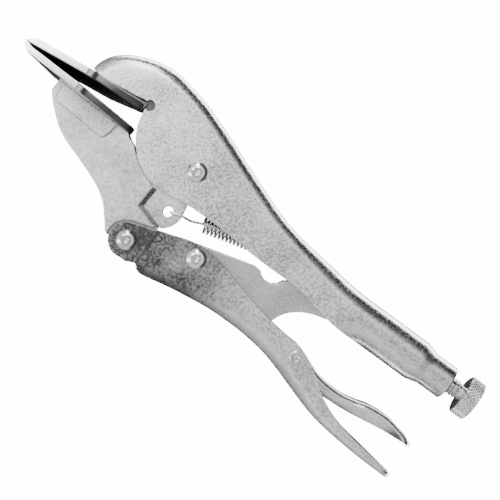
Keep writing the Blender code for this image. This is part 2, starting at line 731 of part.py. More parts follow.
rivet("main_rivet", MAIN_PIVOT, BODY_HALF, origin)
rivet("jaw_rivet", JAW_RIVET, EAR_HALF, jaw_axis)
rivet("toggle_rivet", TOGGLE_RIVET, HANDLE_HALF, jaw_axis)

PIN_RIM = 0.4            # height and overhang of the tubular pin's rolled rim
pin_end = HANDLE_HALF + RUN_GAP
pin = turned_z(
    "lever_rivet",
    LEVER_PIVOT,
    [
        (LEVER_PIN_BORE, -pin_end - PIN_RIM),
        (LEVER_PIN_R + PIN_RIM, -pin_end - PIN_RIM),
        (LEVER_PIN_R + PIN_RIM, -pin_end),
        (LEVER_PIN_R, -pin_end),
        (LEVER_PIN_R, pin_end),
        (LEVER_PIN_R + PIN_RIM, pin_end),
        (LEVER_PIN_R + PIN_RIM, pin_end + PIN_RIM),
        (LEVER_PIN_BORE, pin_end + PIN_RIM),
    ],
    jaw_axis,
)
finish(pin, (0.7, 0.71, 0.72), 0.28)

# ---------------------------------------------------------------- spring and its anchor pin
finish(post("spring_anchor", SPRING_ANCHOR, ANCHOR_R, TANG_HALF, origin, 16), (0.6, 0.61, 0.62), 0.4)

COIL_TURNS = 18
TURN_STEPS = 10
spring_along = Vector((math.cos(math.radians(15.3)), math.sin(math.radians(15.3)), 0))
spring_side = Vector((-spring_along.y, spring_along.x, 0))
coil_start = Vector((12.9, -13.9, 0))
over_tab = TANG_HALF + GAP + WIRE_R       # the wire lies on the tab's near face


def coil_point(turns):
    angle = 2 * math.pi * turns
    round_axis = Vector((0, 0, 1)) * math.cos(angle) + spring_side * math.sin(angle)
    return coil_start + spring_along * COIL_PITCH * turns + round_axis * COIL_R


hook_in = Vector((SPRING_HOLE.x, SPRING_HOLE.y, 0)) + spring_along * (SPRING_HOLE_R - GAP - WIRE_R)
wire = [
    hook_in + Vector((0, 0, 2.0)),
    hook_in + Vector((0, 0, over_tab - 0.9)),
    hook_in + spring_along * 0.8 + Vector((0, 0, over_tab)),
    hook_in + spring_along * 4.4 + Vector((0, 0, over_tab)),
    hook_in + spring_along * 8.0 + Vector((0, -0.3, 0.5 * (over_tab + COIL_R))),
]
wire += [coil_point(i / TURN_STEPS) for i in range(COIL_TURNS * TURN_STEPS + 1)]
loop_r = ANCHOR_R + GAP + WIRE_R
anchor = Vector((SPRING_ANCHOR.x, SPRING_ANCHOR.y, 0))
wire.append(anchor - spring_along * (loop_r + 1.2) + spring_side * 0.6 + Vector((0, 0, 0.6)))
wire += [
    anchor + loop_r * (-spring_along * math.cos(turn) + spring_side * math.sin(turn))
    for turn in (math.radians(40 * i) for i in range(1, 7))
]


def wire_object(name, points, radius, axis):
    """Round wire along points, with closed ends."""
    at = AXIS_AT[axis]
    path = bpy.data.curves.new(name, "CURVE")
    path.dimensions = "3D"
    path.bevel_depth = radius * MM
    path.bevel_resolution = 0
    path.use_fill_caps = True
    line = path.splines.new("POLY")
    line.points.add(len(points) - 1)
    for spot, p in zip(line.points, points):
        spot.co = ((p.x - at.x) * MM, (p.y - at.y) * MM, p.z * MM, 1)
    obj = bpy.data.objects.new(name, path)
    obj.parent = axis
    bpy.context.collection.objects.link(obj)
    return obj


finish(wire_object("return_spring", wire, WIRE_R, main_axis), (0.6, 0.61, 0.62), 0.35)

# ---------------------------------------------------------------- world origin
# the middle of the whole: lips to knob, hook's back to handle's back, plier plane
whole_top = max(row[1] for row in hook_rows)
whole_bottom = min(row[1] for row in grip_rows)
whole_mid = (KNOB_START + KNOB_WIDTH - JAW_REACH) / 2
origin.location = (-whole_mid * MM, -(whole_top + whole_bottom) / 2 * MM, 0)
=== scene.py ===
"""Locking pliers for sheet metal, nickel plated, lying on one side under soft studio light."""
import json
import math

import bmesh
import bpy
from mathutils import Matrix, Vector


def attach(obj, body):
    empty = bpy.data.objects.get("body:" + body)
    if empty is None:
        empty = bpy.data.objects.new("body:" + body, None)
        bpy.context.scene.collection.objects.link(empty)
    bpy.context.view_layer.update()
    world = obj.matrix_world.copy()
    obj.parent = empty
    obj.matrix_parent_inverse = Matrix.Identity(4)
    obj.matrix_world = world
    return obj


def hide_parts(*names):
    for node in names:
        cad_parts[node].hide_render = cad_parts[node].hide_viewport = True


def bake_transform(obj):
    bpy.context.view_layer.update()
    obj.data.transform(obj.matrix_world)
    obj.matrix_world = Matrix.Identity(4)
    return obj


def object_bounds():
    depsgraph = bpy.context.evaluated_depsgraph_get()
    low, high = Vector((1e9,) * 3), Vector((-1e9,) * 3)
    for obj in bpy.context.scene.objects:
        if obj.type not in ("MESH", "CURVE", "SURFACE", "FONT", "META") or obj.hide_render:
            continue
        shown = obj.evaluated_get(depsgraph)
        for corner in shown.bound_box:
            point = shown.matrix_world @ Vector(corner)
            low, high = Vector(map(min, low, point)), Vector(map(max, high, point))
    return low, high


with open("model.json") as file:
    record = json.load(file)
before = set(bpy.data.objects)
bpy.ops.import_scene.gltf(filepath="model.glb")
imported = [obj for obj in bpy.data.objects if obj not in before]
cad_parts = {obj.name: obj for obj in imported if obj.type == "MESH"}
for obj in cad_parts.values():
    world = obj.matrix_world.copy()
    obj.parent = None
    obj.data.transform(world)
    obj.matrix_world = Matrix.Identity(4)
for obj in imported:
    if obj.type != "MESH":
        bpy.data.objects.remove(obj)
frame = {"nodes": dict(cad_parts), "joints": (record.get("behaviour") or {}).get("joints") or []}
cad_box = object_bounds()

# ---------------------------------------------------------------- camera
# It looks down on the tool's side from half a metre, so close that both blades show their upper faces.
MM = 0.001
camera_at = Vector((-8.53, -2.313, 538.92)) * MM
camera_target = Vector((2.25, 0.657, 0.0)) * MM
camera_up = Vector((-0.592, 0.806, 0.0))

camera_back = (camera_at - camera_target).normalized()
camera_right = camera_up.cross(camera_back).normalized()
camera_top = camera_back.cross(camera_right)
camera_data = bpy.data.cameras.new("camera")
camera_data.lens = 104.94
camera_data.sensor_width = 36.0
camera_data.clip_start = 0.01
camera_data.clip_end = 20.0
camera = bpy.data.objects.new("camera", camera_data)
bpy.context.scene.collection.objects.link(camera)
camera.matrix_world = Matrix((
    (camera_right.x, camera_top.x, camera_back.x, camera_at.x),
    (camera_right.y, camera_top.y, camera_back.y, camera_at.y),
    (camera_right.z, camera_top.z, camera_back.z, camera_at.z),
    (0.0, 0.0, 0.0, 1.0),
))
bpy.context.scene.camera = camera

# ---------------------------------------------------------------- floor and light
# A lit white table under the tool that the plating doesn't mirror, a grey room with dark and bright
# bands, stronger on the window side, and three soft boxes: two long ones and a small one by the blades.
FLOOR_SIZE = 6.0
FLOOR_GLOW = 14.0
FLOOR_DROP = 0.5 * MM


class Socket:
    """A node's output that Python operators build on: numbers by Math, vectors by Vector Math."""

    def __init__(self, bench, socket):
        self.bench = bench
        self.socket = socket

    def maths(self, operation, first, second):
        kind = "ShaderNodeVectorMath" if self.socket.type == "VECTOR" else "ShaderNodeMath"
        return self.bench.node(kind, {"operation": operation}, {0: first, 1: second})

    def __add__(self, other):
        return self.maths("ADD", self, other)

    def __radd__(self, other):
        return self.maths("ADD", other, self)

    def __sub__(self, other):
        return self.maths("SUBTRACT", self, other)

    def __rsub__(self, other):
        return self.maths("SUBTRACT", other, self)

    def __mul__(self, other):
        return self.maths("MULTIPLY", self, other)

    def __rmul__(self, other):
        return self.maths("MULTIPLY", other, self)

    def __truediv__(self, other):
        return self.maths("DIVIDE", self, other)


class Bench:
    """A node tree, with the one method that makes any node in it."""

    def __init__(self, tree):
        self.tree = tree

    def node(self, kind, settings=None, sockets=None, out=0):
        made = self.tree.nodes.new(kind)
        for key, value in (settings or {}).items():
            if key == "stops":
                while len(made.color_ramp.elements) < len(value):
                    made.color_ramp.elements.new(1.0)
                for stop, (place, colour) in zip(made.color_ramp.elements, value):
                    stop.position = place
                    stop.color = (*colour, 1.0)
            else:
                setattr(made, key, value)
        for key, value in (sockets or {}).items():
            if isinstance(value, Socket):
                self.tree.links.new(value.socket, made.inputs[key])
            else:
                made.inputs[key].default_value = value
        return Socket(self, made.outputs[out]) if made.outputs else made


floor_z = cad_box[0][2] - FLOOR_DROP
floor_mesh = bpy.data.meshes.new("floor")
floor_mesh.from_pydata(
    [(x * FLOOR_SIZE, y * FLOOR_SIZE, floor_z) for x, y in ((-1, -1), (1, -1), (1, 1), (-1, 1))],
    [],
    [(0, 1, 2, 3)],
)
floor = bpy.data.objects.new("floor", floor_mesh)
bpy.context.scene.collection.objects.link(floor)
floor_paint = bpy.data.materials.new("floor_paint")
floor_paint.use_nodes = True
paint = floor_paint.node_tree.nodes["Principled BSDF"]
paint.inputs["Base Color"].default_value = (0.8, 0.8, 0.8, 1.0)
paint.inputs["Roughness"].default_value = 0.9
paint.inputs["Emission Color"].default_value = (1.0, 1.0, 1.0, 1.0)
paint.inputs["Emission Strength"].default_value = FLOOR_GLOW
floor_mesh.materials.append(floor_paint)
floor.visible_glossy = False

world = bpy.data.worlds.new("studio")
bpy.context.scene.world = world
world.use_nodes = True
dome = Bench(world.node_tree)
toward = dome.node("ShaderNodeTexCoord", None, None, "Generated")
height = dome.node("ShaderNodeSeparateXYZ", None, {0: toward}, "Z")
crisp_side = [
    (-1.0, 0.02), (-0.76, 0.02), (-0.64, 9.0), (-0.36, 9.0), (-0.24, 0.03), (0.3, 0.06),
    (0.55, 0.12), (0.72, 0.4), (0.86, 1.6), (0.94, 0.9), (1.0, 0.58),
]
soft_side = [
    (-1.0, 0.02), (-0.8, 0.08), (-0.5, 0.45), (0.0, 0.6), (0.4, 0.9), (0.75, 1.2), (0.9, 0.85), (1.0, 0.58),
]


def sky(line):
    """Brightness of the room by height, as stops of (z, brightness)."""
    stops = [((z + 1) / 2, (v, v, v)) for z, v in line]
    return dome.node("ShaderNodeValToRGB", {"stops": stops}, {0: height * 0.5 + 0.5})


WINDOWS = (0.66, 0.75, 0.0)
toward_windows = dome.node(
    "ShaderNodeVectorMath", {"operation": "DOT_PRODUCT"}, {0: toward, 1: WINDOWS}, "Value"
)
share = dome.node(
    "ShaderNodeMapRange", {"interpolation_type": "SMOOTHSTEP"},
    {"Value": toward_windows, "From Min": -0.1, "From Max": 0.35},
)
soft = sky(soft_side)
dome_shade = soft + (sky(crisp_side) - soft) * share
background = world.node_tree.nodes["Background"]
world.node_tree.links.new(dome_shade.socket, background.inputs["Color"])


def soft_box(name, place, aim, width, height, power):
    """A flat soft light at place, in metres, turned to aim."""
    data = bpy.data.lights.new(name, "AREA")
    data.shape = "RECTANGLE"
    data.size = width
    data.size_y = height
    data.energy = power
    lamp = bpy.data.objects.new(name, data)
    lamp.location = place
    lamp.rotation_euler = (Vector(aim) - Vector(place)).to_track_quat("-Z", "Y").to_euler()
    bpy.context.scene.collection.objects.link(lamp)


soft_box("key_box", (-0.35, 0.55, 0.62), (0, 0, 0), 0.22, 0.9, 4.5)
soft_box("tip_box", (-0.22, 0.055, 0.54), (-0.1, 0.02, 0), 0.1, 0.1, 0.34)
soft_box("fill_box", (-0.5, -0.5, 0.6), (0, 0, 0), 0.25, 0.8, 2.5)

# ---------------------------------------------------------------- fixed handle
# Pressed from one piece of 2.2 mm steel sheet: a channel that curves round the hook at the front and
# closes into a tube at the back, where the screw runs.  The edges are left as sheared, then plated.
SHEET = 2.2
BODY_HALF = 7.75
HOOK_R = 5.5
HOOK_EDGE = 1.3
JAW_REACH = 72.6
LIP_HEIGHT = 0.8
BLADE_THICK = 2.6
FIXED_TAN = math.tan(math.radians(6.9))
FIXED_BACK = BLADE_THICK / math.cos(math.radians(6.9))
BARREL_R = 8.0
NECK_R = 6.6
SCREW_AXIS = -7.8
THREAD_BORE = 3.8
RIVET_R = 2.6
RUN_GAP = 0.2

pivots = {j["name"]: Vector(j["pos_m"]) / MM for j in frame["joints"] if "pos_m" in j}
MAIN = pivots["jaw_pivot"]


def placed(point):
    """A point in mm from the main rivet, in metres in the tool's own frame."""
    return (Vector(point) + MAIN) * MM


def flat(pivot):
    """A rivet's centre in mm from the main rivet."""
    return (pivots[pivot] - MAIN).to_2d()


def new_piece(name, verts, faces, body, node, material, crease=35):
    """A closed mesh from points in mm, smooth but for edges over crease degrees."""
    mesh = bpy.data.meshes.new(name)
    mesh.from_pydata([placed(v) for v in verts], [], faces)
    piece = bpy.data.objects.new(name, mesh)
    bpy.context.scene.collection.objects.link(piece)
    right_way_out(mesh)
    mesh.materials.append(material)
    if body:
        settle(piece, body, node, crease)
    return piece


def right_way_out(mesh):
    work = bmesh.new()
    work.from_mesh(mesh)
    bmesh.ops.remove_doubles(work, verts=work.verts, dist=1e-7)
    bmesh.ops.recalc_face_normals(work, faces=work.faces)
    work.to_mesh(mesh)
    work.free()


def settle(piece, body, node, crease=35):
    """Smooth shading with flat faces kept flat, then the piece takes its node's place."""
    piece.data.shade_smooth()
    piece.data.set_sharp_from_angle(angle=math.radians(crease))
    even = piece.modifiers.new("even_normals", "WEIGHTED_NORMAL")
    even.keep_sharp = True
    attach(piece, body)
    if node:
        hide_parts(node)


def cut(piece, tool, operation="DIFFERENCE"):
    """Joins or cuts at once, and removes the tool."""
    step = piece.modifiers.new("cut", "BOOLEAN")
    step.operation = operation
    step.solver = "EXACT"
    step.object = tool
    bpy.context.view_layer.update()
    seen = piece.evaluated_get(bpy.context.evaluated_depsgraph_get())
    piece.modifiers.clear()
    piece.data = bpy.data.meshes.new_from_object(seen)
    bpy.data.objects.remove(tool)


def arc(centre, radius, start, end, steps):
    """Points round a centre, from one angle to another in degrees."""
    angles = [math.radians(start + (end - start) * i / steps) for i in range(steps + 1)]
    return [Vector((centre[0], centre[1])) + radius * Vector((math.cos(a), math.sin(a))) for a in angles]


def smooth(points, steps):
    """Smooth curve through vectors (Catmull-Rom), with steps to each stretch."""
    points = [Vector(p) for p in points]
    ends = [2 * points[0] - points[1]] + points + [2 * points[-1] - points[-2]]
    line = []
    for p0, p1, p2, p3 in zip(ends, ends[1:], ends[2:], ends[3:]):
        for i in range(steps):
            t = i / steps
            line.append(
                0.5 * (2 * p1 + (p2 - p0) * t + (2 * p0 - 5 * p1 + 4 * p2 - p3) * t**2
                       + (3 * p1 - p0 - 3 * p2 + p3) * t**3)
            )
    return line + [points[-1]]


def extruded(outline, half):
    """A plain cutter, square to the plier plane."""
    count = len(outline)
    verts = [(*p, -half) for p in outline] + [(*p, half) for p in outline]
    sides = [(i, (i + 1) % count, count + (i + 1) % count, count + i) for i in range(count)]
    faces = [tuple(range(count)), tuple(range(count, 2 * count)), *sides]
    return new_piece("tool", verts, faces, None, None, None)


WALL_STEPS = 4
CORNER_STEPS = 9
RIM_STEPS = 3
SEAM = 0.3


def half_section(depth, half, corner, close, lean, slant):
    """One side of the channel as (depth from the back, z), from the open edge to the back."""
    line = []
    last = math.pi - math.asin(min(1.0, SEAM / half))
    bend = math.pi / 2 - slant
    flat_end = corner * (1 - math.cos(bend))
    for i in range(WALL_STEPS + 1):
        t = i / WALL_STEPS
        turn = last + (math.pi / 2 - last) * t
        straight = Vector((depth + (flat_end - depth) * t, half - lean * (1 - t)))
        tube = Vector((half - half * math.cos(turn), half * math.sin(turn)))
        line.append(straight.lerp(tube, close))
    for i in range(1, CORNER_STEPS + 1):
        turn = bend * (1 - i / CORNER_STEPS)
        across = half - corner * (math.sin(bend) - math.sin(turn))
        line.append(Vector((corner - corner * math.cos(turn), across)))
    return line


def rounded_rim(outer, inner, rim):
    """Points round the sheared edge from the outer face's first point to the inner face's."""
    across = inner[0] - outer[0]
    reach = min(rim, 0.45 * across.length)
    over = across.normalized() * reach
    past = (outer[0] - outer[1]).normalized() * reach
    turns = [math.pi / 2 * i / RIM_STEPS for i in range(1, RIM_STEPS + 1)]
    line = [outer[0] + over * (1 - math.cos(a)) + past * math.sin(a) for a in turns]
    return line + [inner[0] - over * (1 - math.cos(a)) + past * math.sin(a) for a in turns[::-1]]


def pressed_sheet(name, stations, body, node, material, rim=0.3):
    """A channel of sheet through stations of (back x, back y, edge x, edge y, half width, corner,
    sheet, close, lean, slant), with its open edges and its ends rounded over by rim."""
    verts, faces = [], []
    last = len(stations) - 1
    length = WALL_STEPS + CORNER_STEPS + 1
    rims = 2 * RIM_STEPS
    count = 2 * (2 * length + rims)
    for number, (bx, by, ex, ey, half, corner, sheet, close, lean, slant) in enumerate(stations):
        back, edge = Vector((bx, by)), Vector((ex, ey))
        depth = (edge - back).length
        down = (edge - back) / depth
        edge_rim = min(rim * (1 - 0.7 * close), max(0.05, depth - sheet - 0.6))
        corner = min(corner, half - 0.3, 0.85 * depth)
        depth -= edge_rim * (1 - close)
        outer = half_section(depth, half, corner, close, lean, slant)
        inner = half_section(depth - sheet, half - sheet, max(corner - sheet, 0.5), close, lean, slant)
        inner = [p + Vector((sheet, 0)) for p in inner]
        edge_round = rounded_rim(outer, inner, edge_rim)
        if number in (0, last):
            middle = [(a + b) / 2 for a, b in zip(outer, inner)]
            share = 2 * rim / sheet
            outer = [a.lerp(m, share) for a, m in zip(outer, middle)]
            inner = [a.lerp(m, share) for a, m in zip(inner, middle)]
            edge_round = [p.lerp(middle[0], share) for p in edge_round]
        one = [*outer[::-1], *edge_round, *inner]
        loop = one + [Vector((p.x, -p.y)) for p in one[::-1]]
        verts += [(*(back + down * p.x), p.y) for p in loop]
    for i in range(last):
        for k in range(count):
            a, b = i * count, (i + 1) * count
            faces.append((a + k, a + (k + 1) % count, b + (k + 1) % count, b + k))
    for start in (0, last * count):
        for side in (range(start, start + count // 2), range(start + count - 1, start - 1, -1)):
            outer, rim_points, inner = side[length - 1::-1], side[length:length + rims], side[length + rims:]
            for j in range(length - 1):
                faces.append((outer[j], outer[j + 1], inner[j + 1], inner[j]))
            faces.append((outer[0], *rim_points, inner[0]))
        faces.append((start, start + count // 2 - 1, start + count // 2, start + count - 1))
    piece = new_piece(name, verts, faces, body, node, material)
    # The channel's inner faces take the dark nickel: painted shade inside the channel.
    piece.data.materials.append(painted_shade_nickel)
    for polygon in piece.data.polygons[:last * count]:
        if length + rims <= polygon.index % count < count // 2 + length - 1:
            polygon.material_index = 1
    return piece


def mixed(bench, share, first, second):
    """A colour between two, by share."""
    made = bench.tree.nodes.new("ShaderNodeMix")
    made.data_type = "RGBA"
    made.clamp_factor = True
    colours = [s for s in made.inputs if s.type == "RGBA"]
    colours[0].default_value = (*first, 1.0)
    colours[1].default_value = (*second, 1.0)
    bench.tree.links.new(share.socket, made.inputs[0])
    return Socket(bench, [s for s in made.outputs if s.type == "RGBA"][0])


def plated(name, tint, gloss, grain=0.5, cloud=0.5, skin=0.0, dull_flats=0.0, scratches=0.3, painted_shade_span=None):
    """Satin nickel over steel: a fine speckle, slow clouds in the gloss, faint rub marks, and for
    forgings the uneven skin of the die.  dull_flats makes the faces square to Z rougher; the last argument
    is (x where a painted shade over the sheet is darkest, x where it has faded out).  Edges are painted
    lighter: part rubbed plating, part painted highlight."""
    material = bpy.data.materials.new(name)
    material.use_nodes = True
    shader = material.node_tree.nodes["Principled BSDF"]
    bench = Bench(material.node_tree)
    place = bench.node("ShaderNodeTexCoord", None, None, "Object")
    facing = bench.node("ShaderNodeTexCoord", None, None, "Normal")
    side = bench.node("ShaderNodeSeparateXYZ", None, {0: facing}, "Z")
    steep = bench.node("ShaderNodeMath", {"operation": "ABSOLUTE"}, {0: side})
    flats = bench.node(
        "ShaderNodeMapRange",
        {"interpolation_type": "SMOOTHSTEP"},
        {"Value": steep, "From Min": 0.9, "From Max": 0.99},
    )

    def noise(scale, detail, rough=0.5, where=place):
        return bench.node(
            "ShaderNodeTexNoise", None,
            {"Vector": where, "Scale": scale, "Detail": detail, "Roughness": rough},
        )

    def spread(value, low, high):
        return bench.node("ShaderNodeMapRange", None, {"Value": value, "From Min": low, "From Max": high})

    speckle = spread(noise(1050.0, 2.0, 0.6), 0.36, 0.64)
    clouds = noise(85.0, 4.0)
    dents = noise(420.0, 3.0, 0.55)
    drawn_out = bench.node(
        "ShaderNodeMapping", None, {"Vector": place, "Rotation": (0.0, 0.0, 0.35), "Scale": (0.12, 1.0, 1.0)}
    )
    rubs = noise(2600.0, 2.0, 0.6, drawn_out)
    along = bench.node("ShaderNodeSeparateXYZ", None, {0: place}, "X")
    left = spread(along, painted_shade_span[1], painted_shade_span[0]) if painted_shade_span else 0.0 * along
    grain_here = (speckle - 0.5) * (grain * (0.55 + 0.45 * flats))
    # Edges come out lighter and glossier: part rubbed plating, part painted highlight, more so on the
    # painted-shade front.
    softened = bench.node("ShaderNodeBevel", {"samples": 4}, {"Radius": 0.5 * MM})
    true_normal = bench.node("ShaderNodeNewGeometry", None, None, "Normal")
    kept = bench.node(
        "ShaderNodeVectorMath", {"operation": "DOT_PRODUCT"}, {0: softened, 1: true_normal}, "Value"
    )
    worn_and_highlit_edges = spread(kept, 0.985, 0.85) * (0.6 + 0.8 * (clouds - 0.5))
    # The sheet's front is painted darker as far as the span given: painted shade.
    shade = (
        0.72 + (clouds - 0.5) * (1.3 * cloud) + grain_here * (0.55 - 0.25 * left)
        + (rubs - 0.5) * (0.4 * scratches)
        - left * 0.6 + worn_and_highlit_edges * (0.2 + 0.5 * left)
    )
    dark = tuple(0.1 * c for c in tint)
    light = tuple(min(1.0, 1.3 * c) for c in tint)
    colour = mixed(bench, shade, dark, light)
    rough = (
        gloss + (clouds - 0.5) * (0.16 * cloud) + (speckle - 0.5) * (0.16 * grain) + flats * dull_flats
        - worn_and_highlit_edges * 0.06
    )
    height = speckle * (0.5 * grain) + rubs * (0.5 * scratches) + dents * (3.0 * skin) + clouds * (2.0 * skin)
    bump = bench.node(
        "ShaderNodeBump", None, {"Strength": 1.0, "Distance": 0.03 * MM, "Height": height}
    )
    links = material.node_tree.links
    links.new(colour.socket, shader.inputs["Base Color"])
    links.new(rough.socket, shader.inputs["Roughness"])
    links.new(bump.socket, shader.inputs["Normal"])
    shader.inputs["Metallic"].default_value = 1.0
    return material


# Dark nickel for channel insides, the hook insert and the lever pin's bore: painted shade.
painted_shade_nickel = plated("painted_shade_nickel", (0.15, 0.155, 0.16), 0.45, grain=0.7, cloud=0.6, skin=0.4)


def hook_foot(x):
    """Height of the hook's edge: it follows the blade's back."""
    return LIP_HEIGHT + FIXED_TAN * (x + JAW_REACH) + FIXED_BACK + HOOK_EDGE


def body_row(bx, by, ex, ey, corner=HOOK_R, half=BODY_HALF):
    return Vector((bx, by, ex, ey, half, corner, SHEET, 0, 0, 0.1))


def hook_row(bx, by, ex):
    return body_row(bx, by, ex, hook_foot(ex))


def barrel_row(x, radius=BARREL_R, close=1.0, sheet=SHEET):
    return Vector((x, SCREW_AXIS + radius, x, SCREW_AXIS - radius, radius, radius, sheet, close, 0, 0))


handle_line = smooth([
    hook_row(-53.2, 8.3, -49.3),
    hook_row(-52.6, 12.0, -47.6),
    hook_row(-50.2, 16.3, -45.5),
    hook_row(-45.6, 20.3, -42.0),
    hook_row(-39.6, 23.1, -38.0),
    hook_row(-33.0, 25.0, -34.0),
    hook_row(-27.0, 25.4, -30.0),
    body_row(-21.5, 24.7, -28.8, 6.0),
    body_row(-16.0, 23.6, -27.8, 1.6),
    body_row(-10.4, 22.2, -25.6, -2.9),
    body_row(-5.0, 20.4, -22.3, -6.8),
    body_row(0.5, 18.5, -17.5, -10.4),
    body_row(5.5, 16.6, -11.5, -12.6),
    body_row(11.5, 14.3, -3.5, -12.6),
    body_row(18.7, 11.6, 6.0, -11.5),
    body_row(25.6, 9.1, 16.0, -11.4),
    body_row(34.3, 6.1, 28.0, -11.9),
    body_row(42.2, 4.1, 39.8, -12.4),
    body_row(50.0, 2.9, 50.0, -12.3, 6.0),
    body_row(57.0, 2.2, 57.0, -12.6, 6.8),
    body_row(64.0, 1.3, 64.0, -13.9, 7.3),
    body_row(71.0, 0.5, 71.0, -15.2, BARREL_R, 7.9),
    barrel_row(77.0, close=0.12),
    barrel_row(82.0, close=0.55),
    barrel_row(87.0, close=0.95),
    barrel_row(90.0),
    barrel_row(98.0),
    barrel_row(105.6),
], 5)
for step in range(1, 13):
    share = step / 12
    fall = share * share * (3 - 2 * share)
    radius = BARREL_R + (NECK_R - BARREL_R) * fall
    handle_line.append(barrel_row(105.6 + 6.8 * share, radius, sheet=radius - THREAD_BORE))
handle_line += [barrel_row(x, NECK_R, sheet=NECK_R - THREAD_BORE) for x in (116.0, 120.4, 121.0)]

handle_nickel = plated(
    "handle_nickel", (0.78, 0.785, 0.79), 0.27, grain=0.8, cloud=0.6, skin=0.25, dull_flats=0.05
)
fixed_shell = pressed_sheet("fixed_handle_shell", handle_line, None, None, handle_nickel)
RELIEF_AT = (-28.2, 9.4)
RELIEF_R = 2.1
cut(fixed_shell, extruded(arc(RELIEF_AT, RELIEF_R, 0, 350, 35), 2 * BODY_HALF))
settle(fixed_shell, "fixed_half", "fixed_handle")

# ---------------------------------------------------------------- insert and fixed blade
# A forged insert fills the hook and carries the root that the blade is welded to; it is coloured
# dark, a painted shade inside the hook.  The fixed blade is a flat ground plate bevelled to a thin lip;
# its grip face and rear sides are painted darker than its back: painted shade on the grip face, painted
# reflection on the rear sides.
BLADE_HALF = 39.7
BLADE_DEPTH = 28.0
BLADE_CORNER = 5.0
BLADE_BEVEL = 3.0
LIP_EDGE = 0.5
FIXED_END = 30.0
THROAT = 28.6
MOVING_TAN = math.tan(math.radians(-1.3))
MOVING_BACK = BLADE_THICK / math.cos(math.radians(-1.3))
GAP = 0.3
TANG_HALF = BODY_HALF - SHEET - GAP


def fixed_grip(x):
    return LIP_HEIGHT + FIXED_TAN * (x + JAW_REACH)


def moving_grip(x):
    return LIP_HEIGHT - GAP + MOVING_TAN * (x + JAW_REACH)


def inset(outline, distance):
    """An outline drawn in by distance, corner by corner."""
    count = len(outline)
    area = sum(
        outline[i].x * outline[(i + 1) % count].y - outline[(i + 1) % count].x * outline[i].y
        for i in range(count)
    )
    turn = 1 if area > 0 else -1
    line = []
    for i, p in enumerate(outline):
        before = (p - outline[i - 1]).normalized()
        after = (outline[(i + 1) % count] - p).normalized()
        inward = Vector((-(before.y + after.y), before.x + after.x)) * turn
        reach = max(inward.length_squared / 2, 0.5)
        line.append(p + inward / reach * distance)
    return line


ROUND_STEPS = 4


def stacked(name, levels, body, node, material):
    """A solid through outlines given as 3-D rings, first and last closed by a face."""
    count = len(levels[0])
    verts = [p for ring in levels for p in ring]
    faces = [tuple(range(count)), tuple(range(len(verts) - count, len(verts)))]
    for i in range(len(levels) - 1):
        for k in range(count):
            a, b = i * count, (i + 1) * count
            faces.append((a + k, a + (k + 1) % count, b + (k + 1) % count, b + k))
    return new_piece(name, verts, faces, body, node, material)


def rounding(edge):
    """Steps of (how far in from the side, how far down from the face) round an edge."""
    turns = [math.pi / 2 * i / ROUND_STEPS for i in range(ROUND_STEPS + 1)]
    return [(edge * (1 - math.sin(a)), edge * (1 - math.cos(a))) for a in turns]


def slab(name, outline, low_z, high_z, edge, body, node, slot, material):
    """A plate square to the plier plane with all its edges rounded over."""
    levels = [[(*p, low_z + down) for p in inset(outline, side)] for side, down in rounding(edge)]
    levels += [[(*p, high_z - down) for p in inset(outline, side)] for side, down in rounding(edge)[::-1]]
    return stacked(name, levels, body, node, material)


def blade_plan(lip, end, neck):
    """A blade from above as (x, z): straight lip, round rear corners, sides sloping to its end."""
    rear = -JAW_REACH + BLADE_DEPTH
    corner = (rear - BLADE_CORNER, BLADE_HALF - BLADE_CORNER)
    slope = math.degrees(math.atan2(BLADE_HALF - neck, -end - rear))
    half = [Vector((lip, BLADE_HALF))] + arc(corner, BLADE_CORNER, 90, 90 - slope, 10)
    half.append(Vector((-end, neck)))
    return half + [Vector((p.x, -p.y)) for p in reversed(half)]


def blade(name, grip, back, end, neck, body, node, material):
    """A plate from its grip face to its back, edges rounded, with the bevel behind the lip."""
    edge = 0.35
    thick = abs(back)
    steps = [(side, down) for side, down in rounding(edge)]
    steps += [(0, LIP_EDGE)]
    steps += [(side, thick - down) for side, down in rounding(edge)[::-1]]
    levels = []
    for side, down in steps:
        past = max(0.0, (down - LIP_EDGE) / (thick - LIP_EDGE))
        plan = inset(blade_plan(-JAW_REACH + BLADE_BEVEL * past, end, neck), side)
        levels.append([(p.x, grip(p.x) + math.copysign(down, back), p.y) for p in plan])
    piece = stacked(name, levels, body, node, material)
    # The grip face and the rear sides take the dark steel: painted shade on the grip face, painted reflection
    # on the rear sides.
    piece.data.materials.append(painted_shade_steel)
    for polygon in piece.data.polygons:
        n = polygon.normal
        if n.y * back < -0.8 * thick or (n.x > 0.15 and abs(n.z) > 0.15 and polygon.center.x > rear_start):
            polygon.material_index = 1
    return piece


rear_start = placed((-JAW_REACH + BLADE_DEPTH - 2.5, 0, 0)).x
# Dark steel for the blades' grip faces and rear sides: painted shade and painted reflection.
painted_shade_steel = plated("painted_shade_steel", (0.22, 0.225, 0.23), 0.38, grain=0.4, cloud=0.5, scratches=0.8)
blade_nickel = plated("blade_nickel", (0.95, 0.95, 0.95), 0.2, grain=0.35, cloud=0.5, scratches=0.6)
blade(
    "upper_blade_plate", fixed_grip, FIXED_BACK, FIXED_END, BODY_HALF, "fixed_half", "upper_blade",
    blade_nickel,
)
forged_nickel = plated(
    "forged_nickel", (0.70, 0.71, 0.72), 0.30, grain=0.6, cloud=0.6, skin=0.5, dull_flats=0.05
)


def recoat(node, material):
    """A better finish on a piece whose CAD shape is right."""
    mesh = frame["nodes"][node].data
    mesh.materials.clear()
    mesh.materials.append(material)


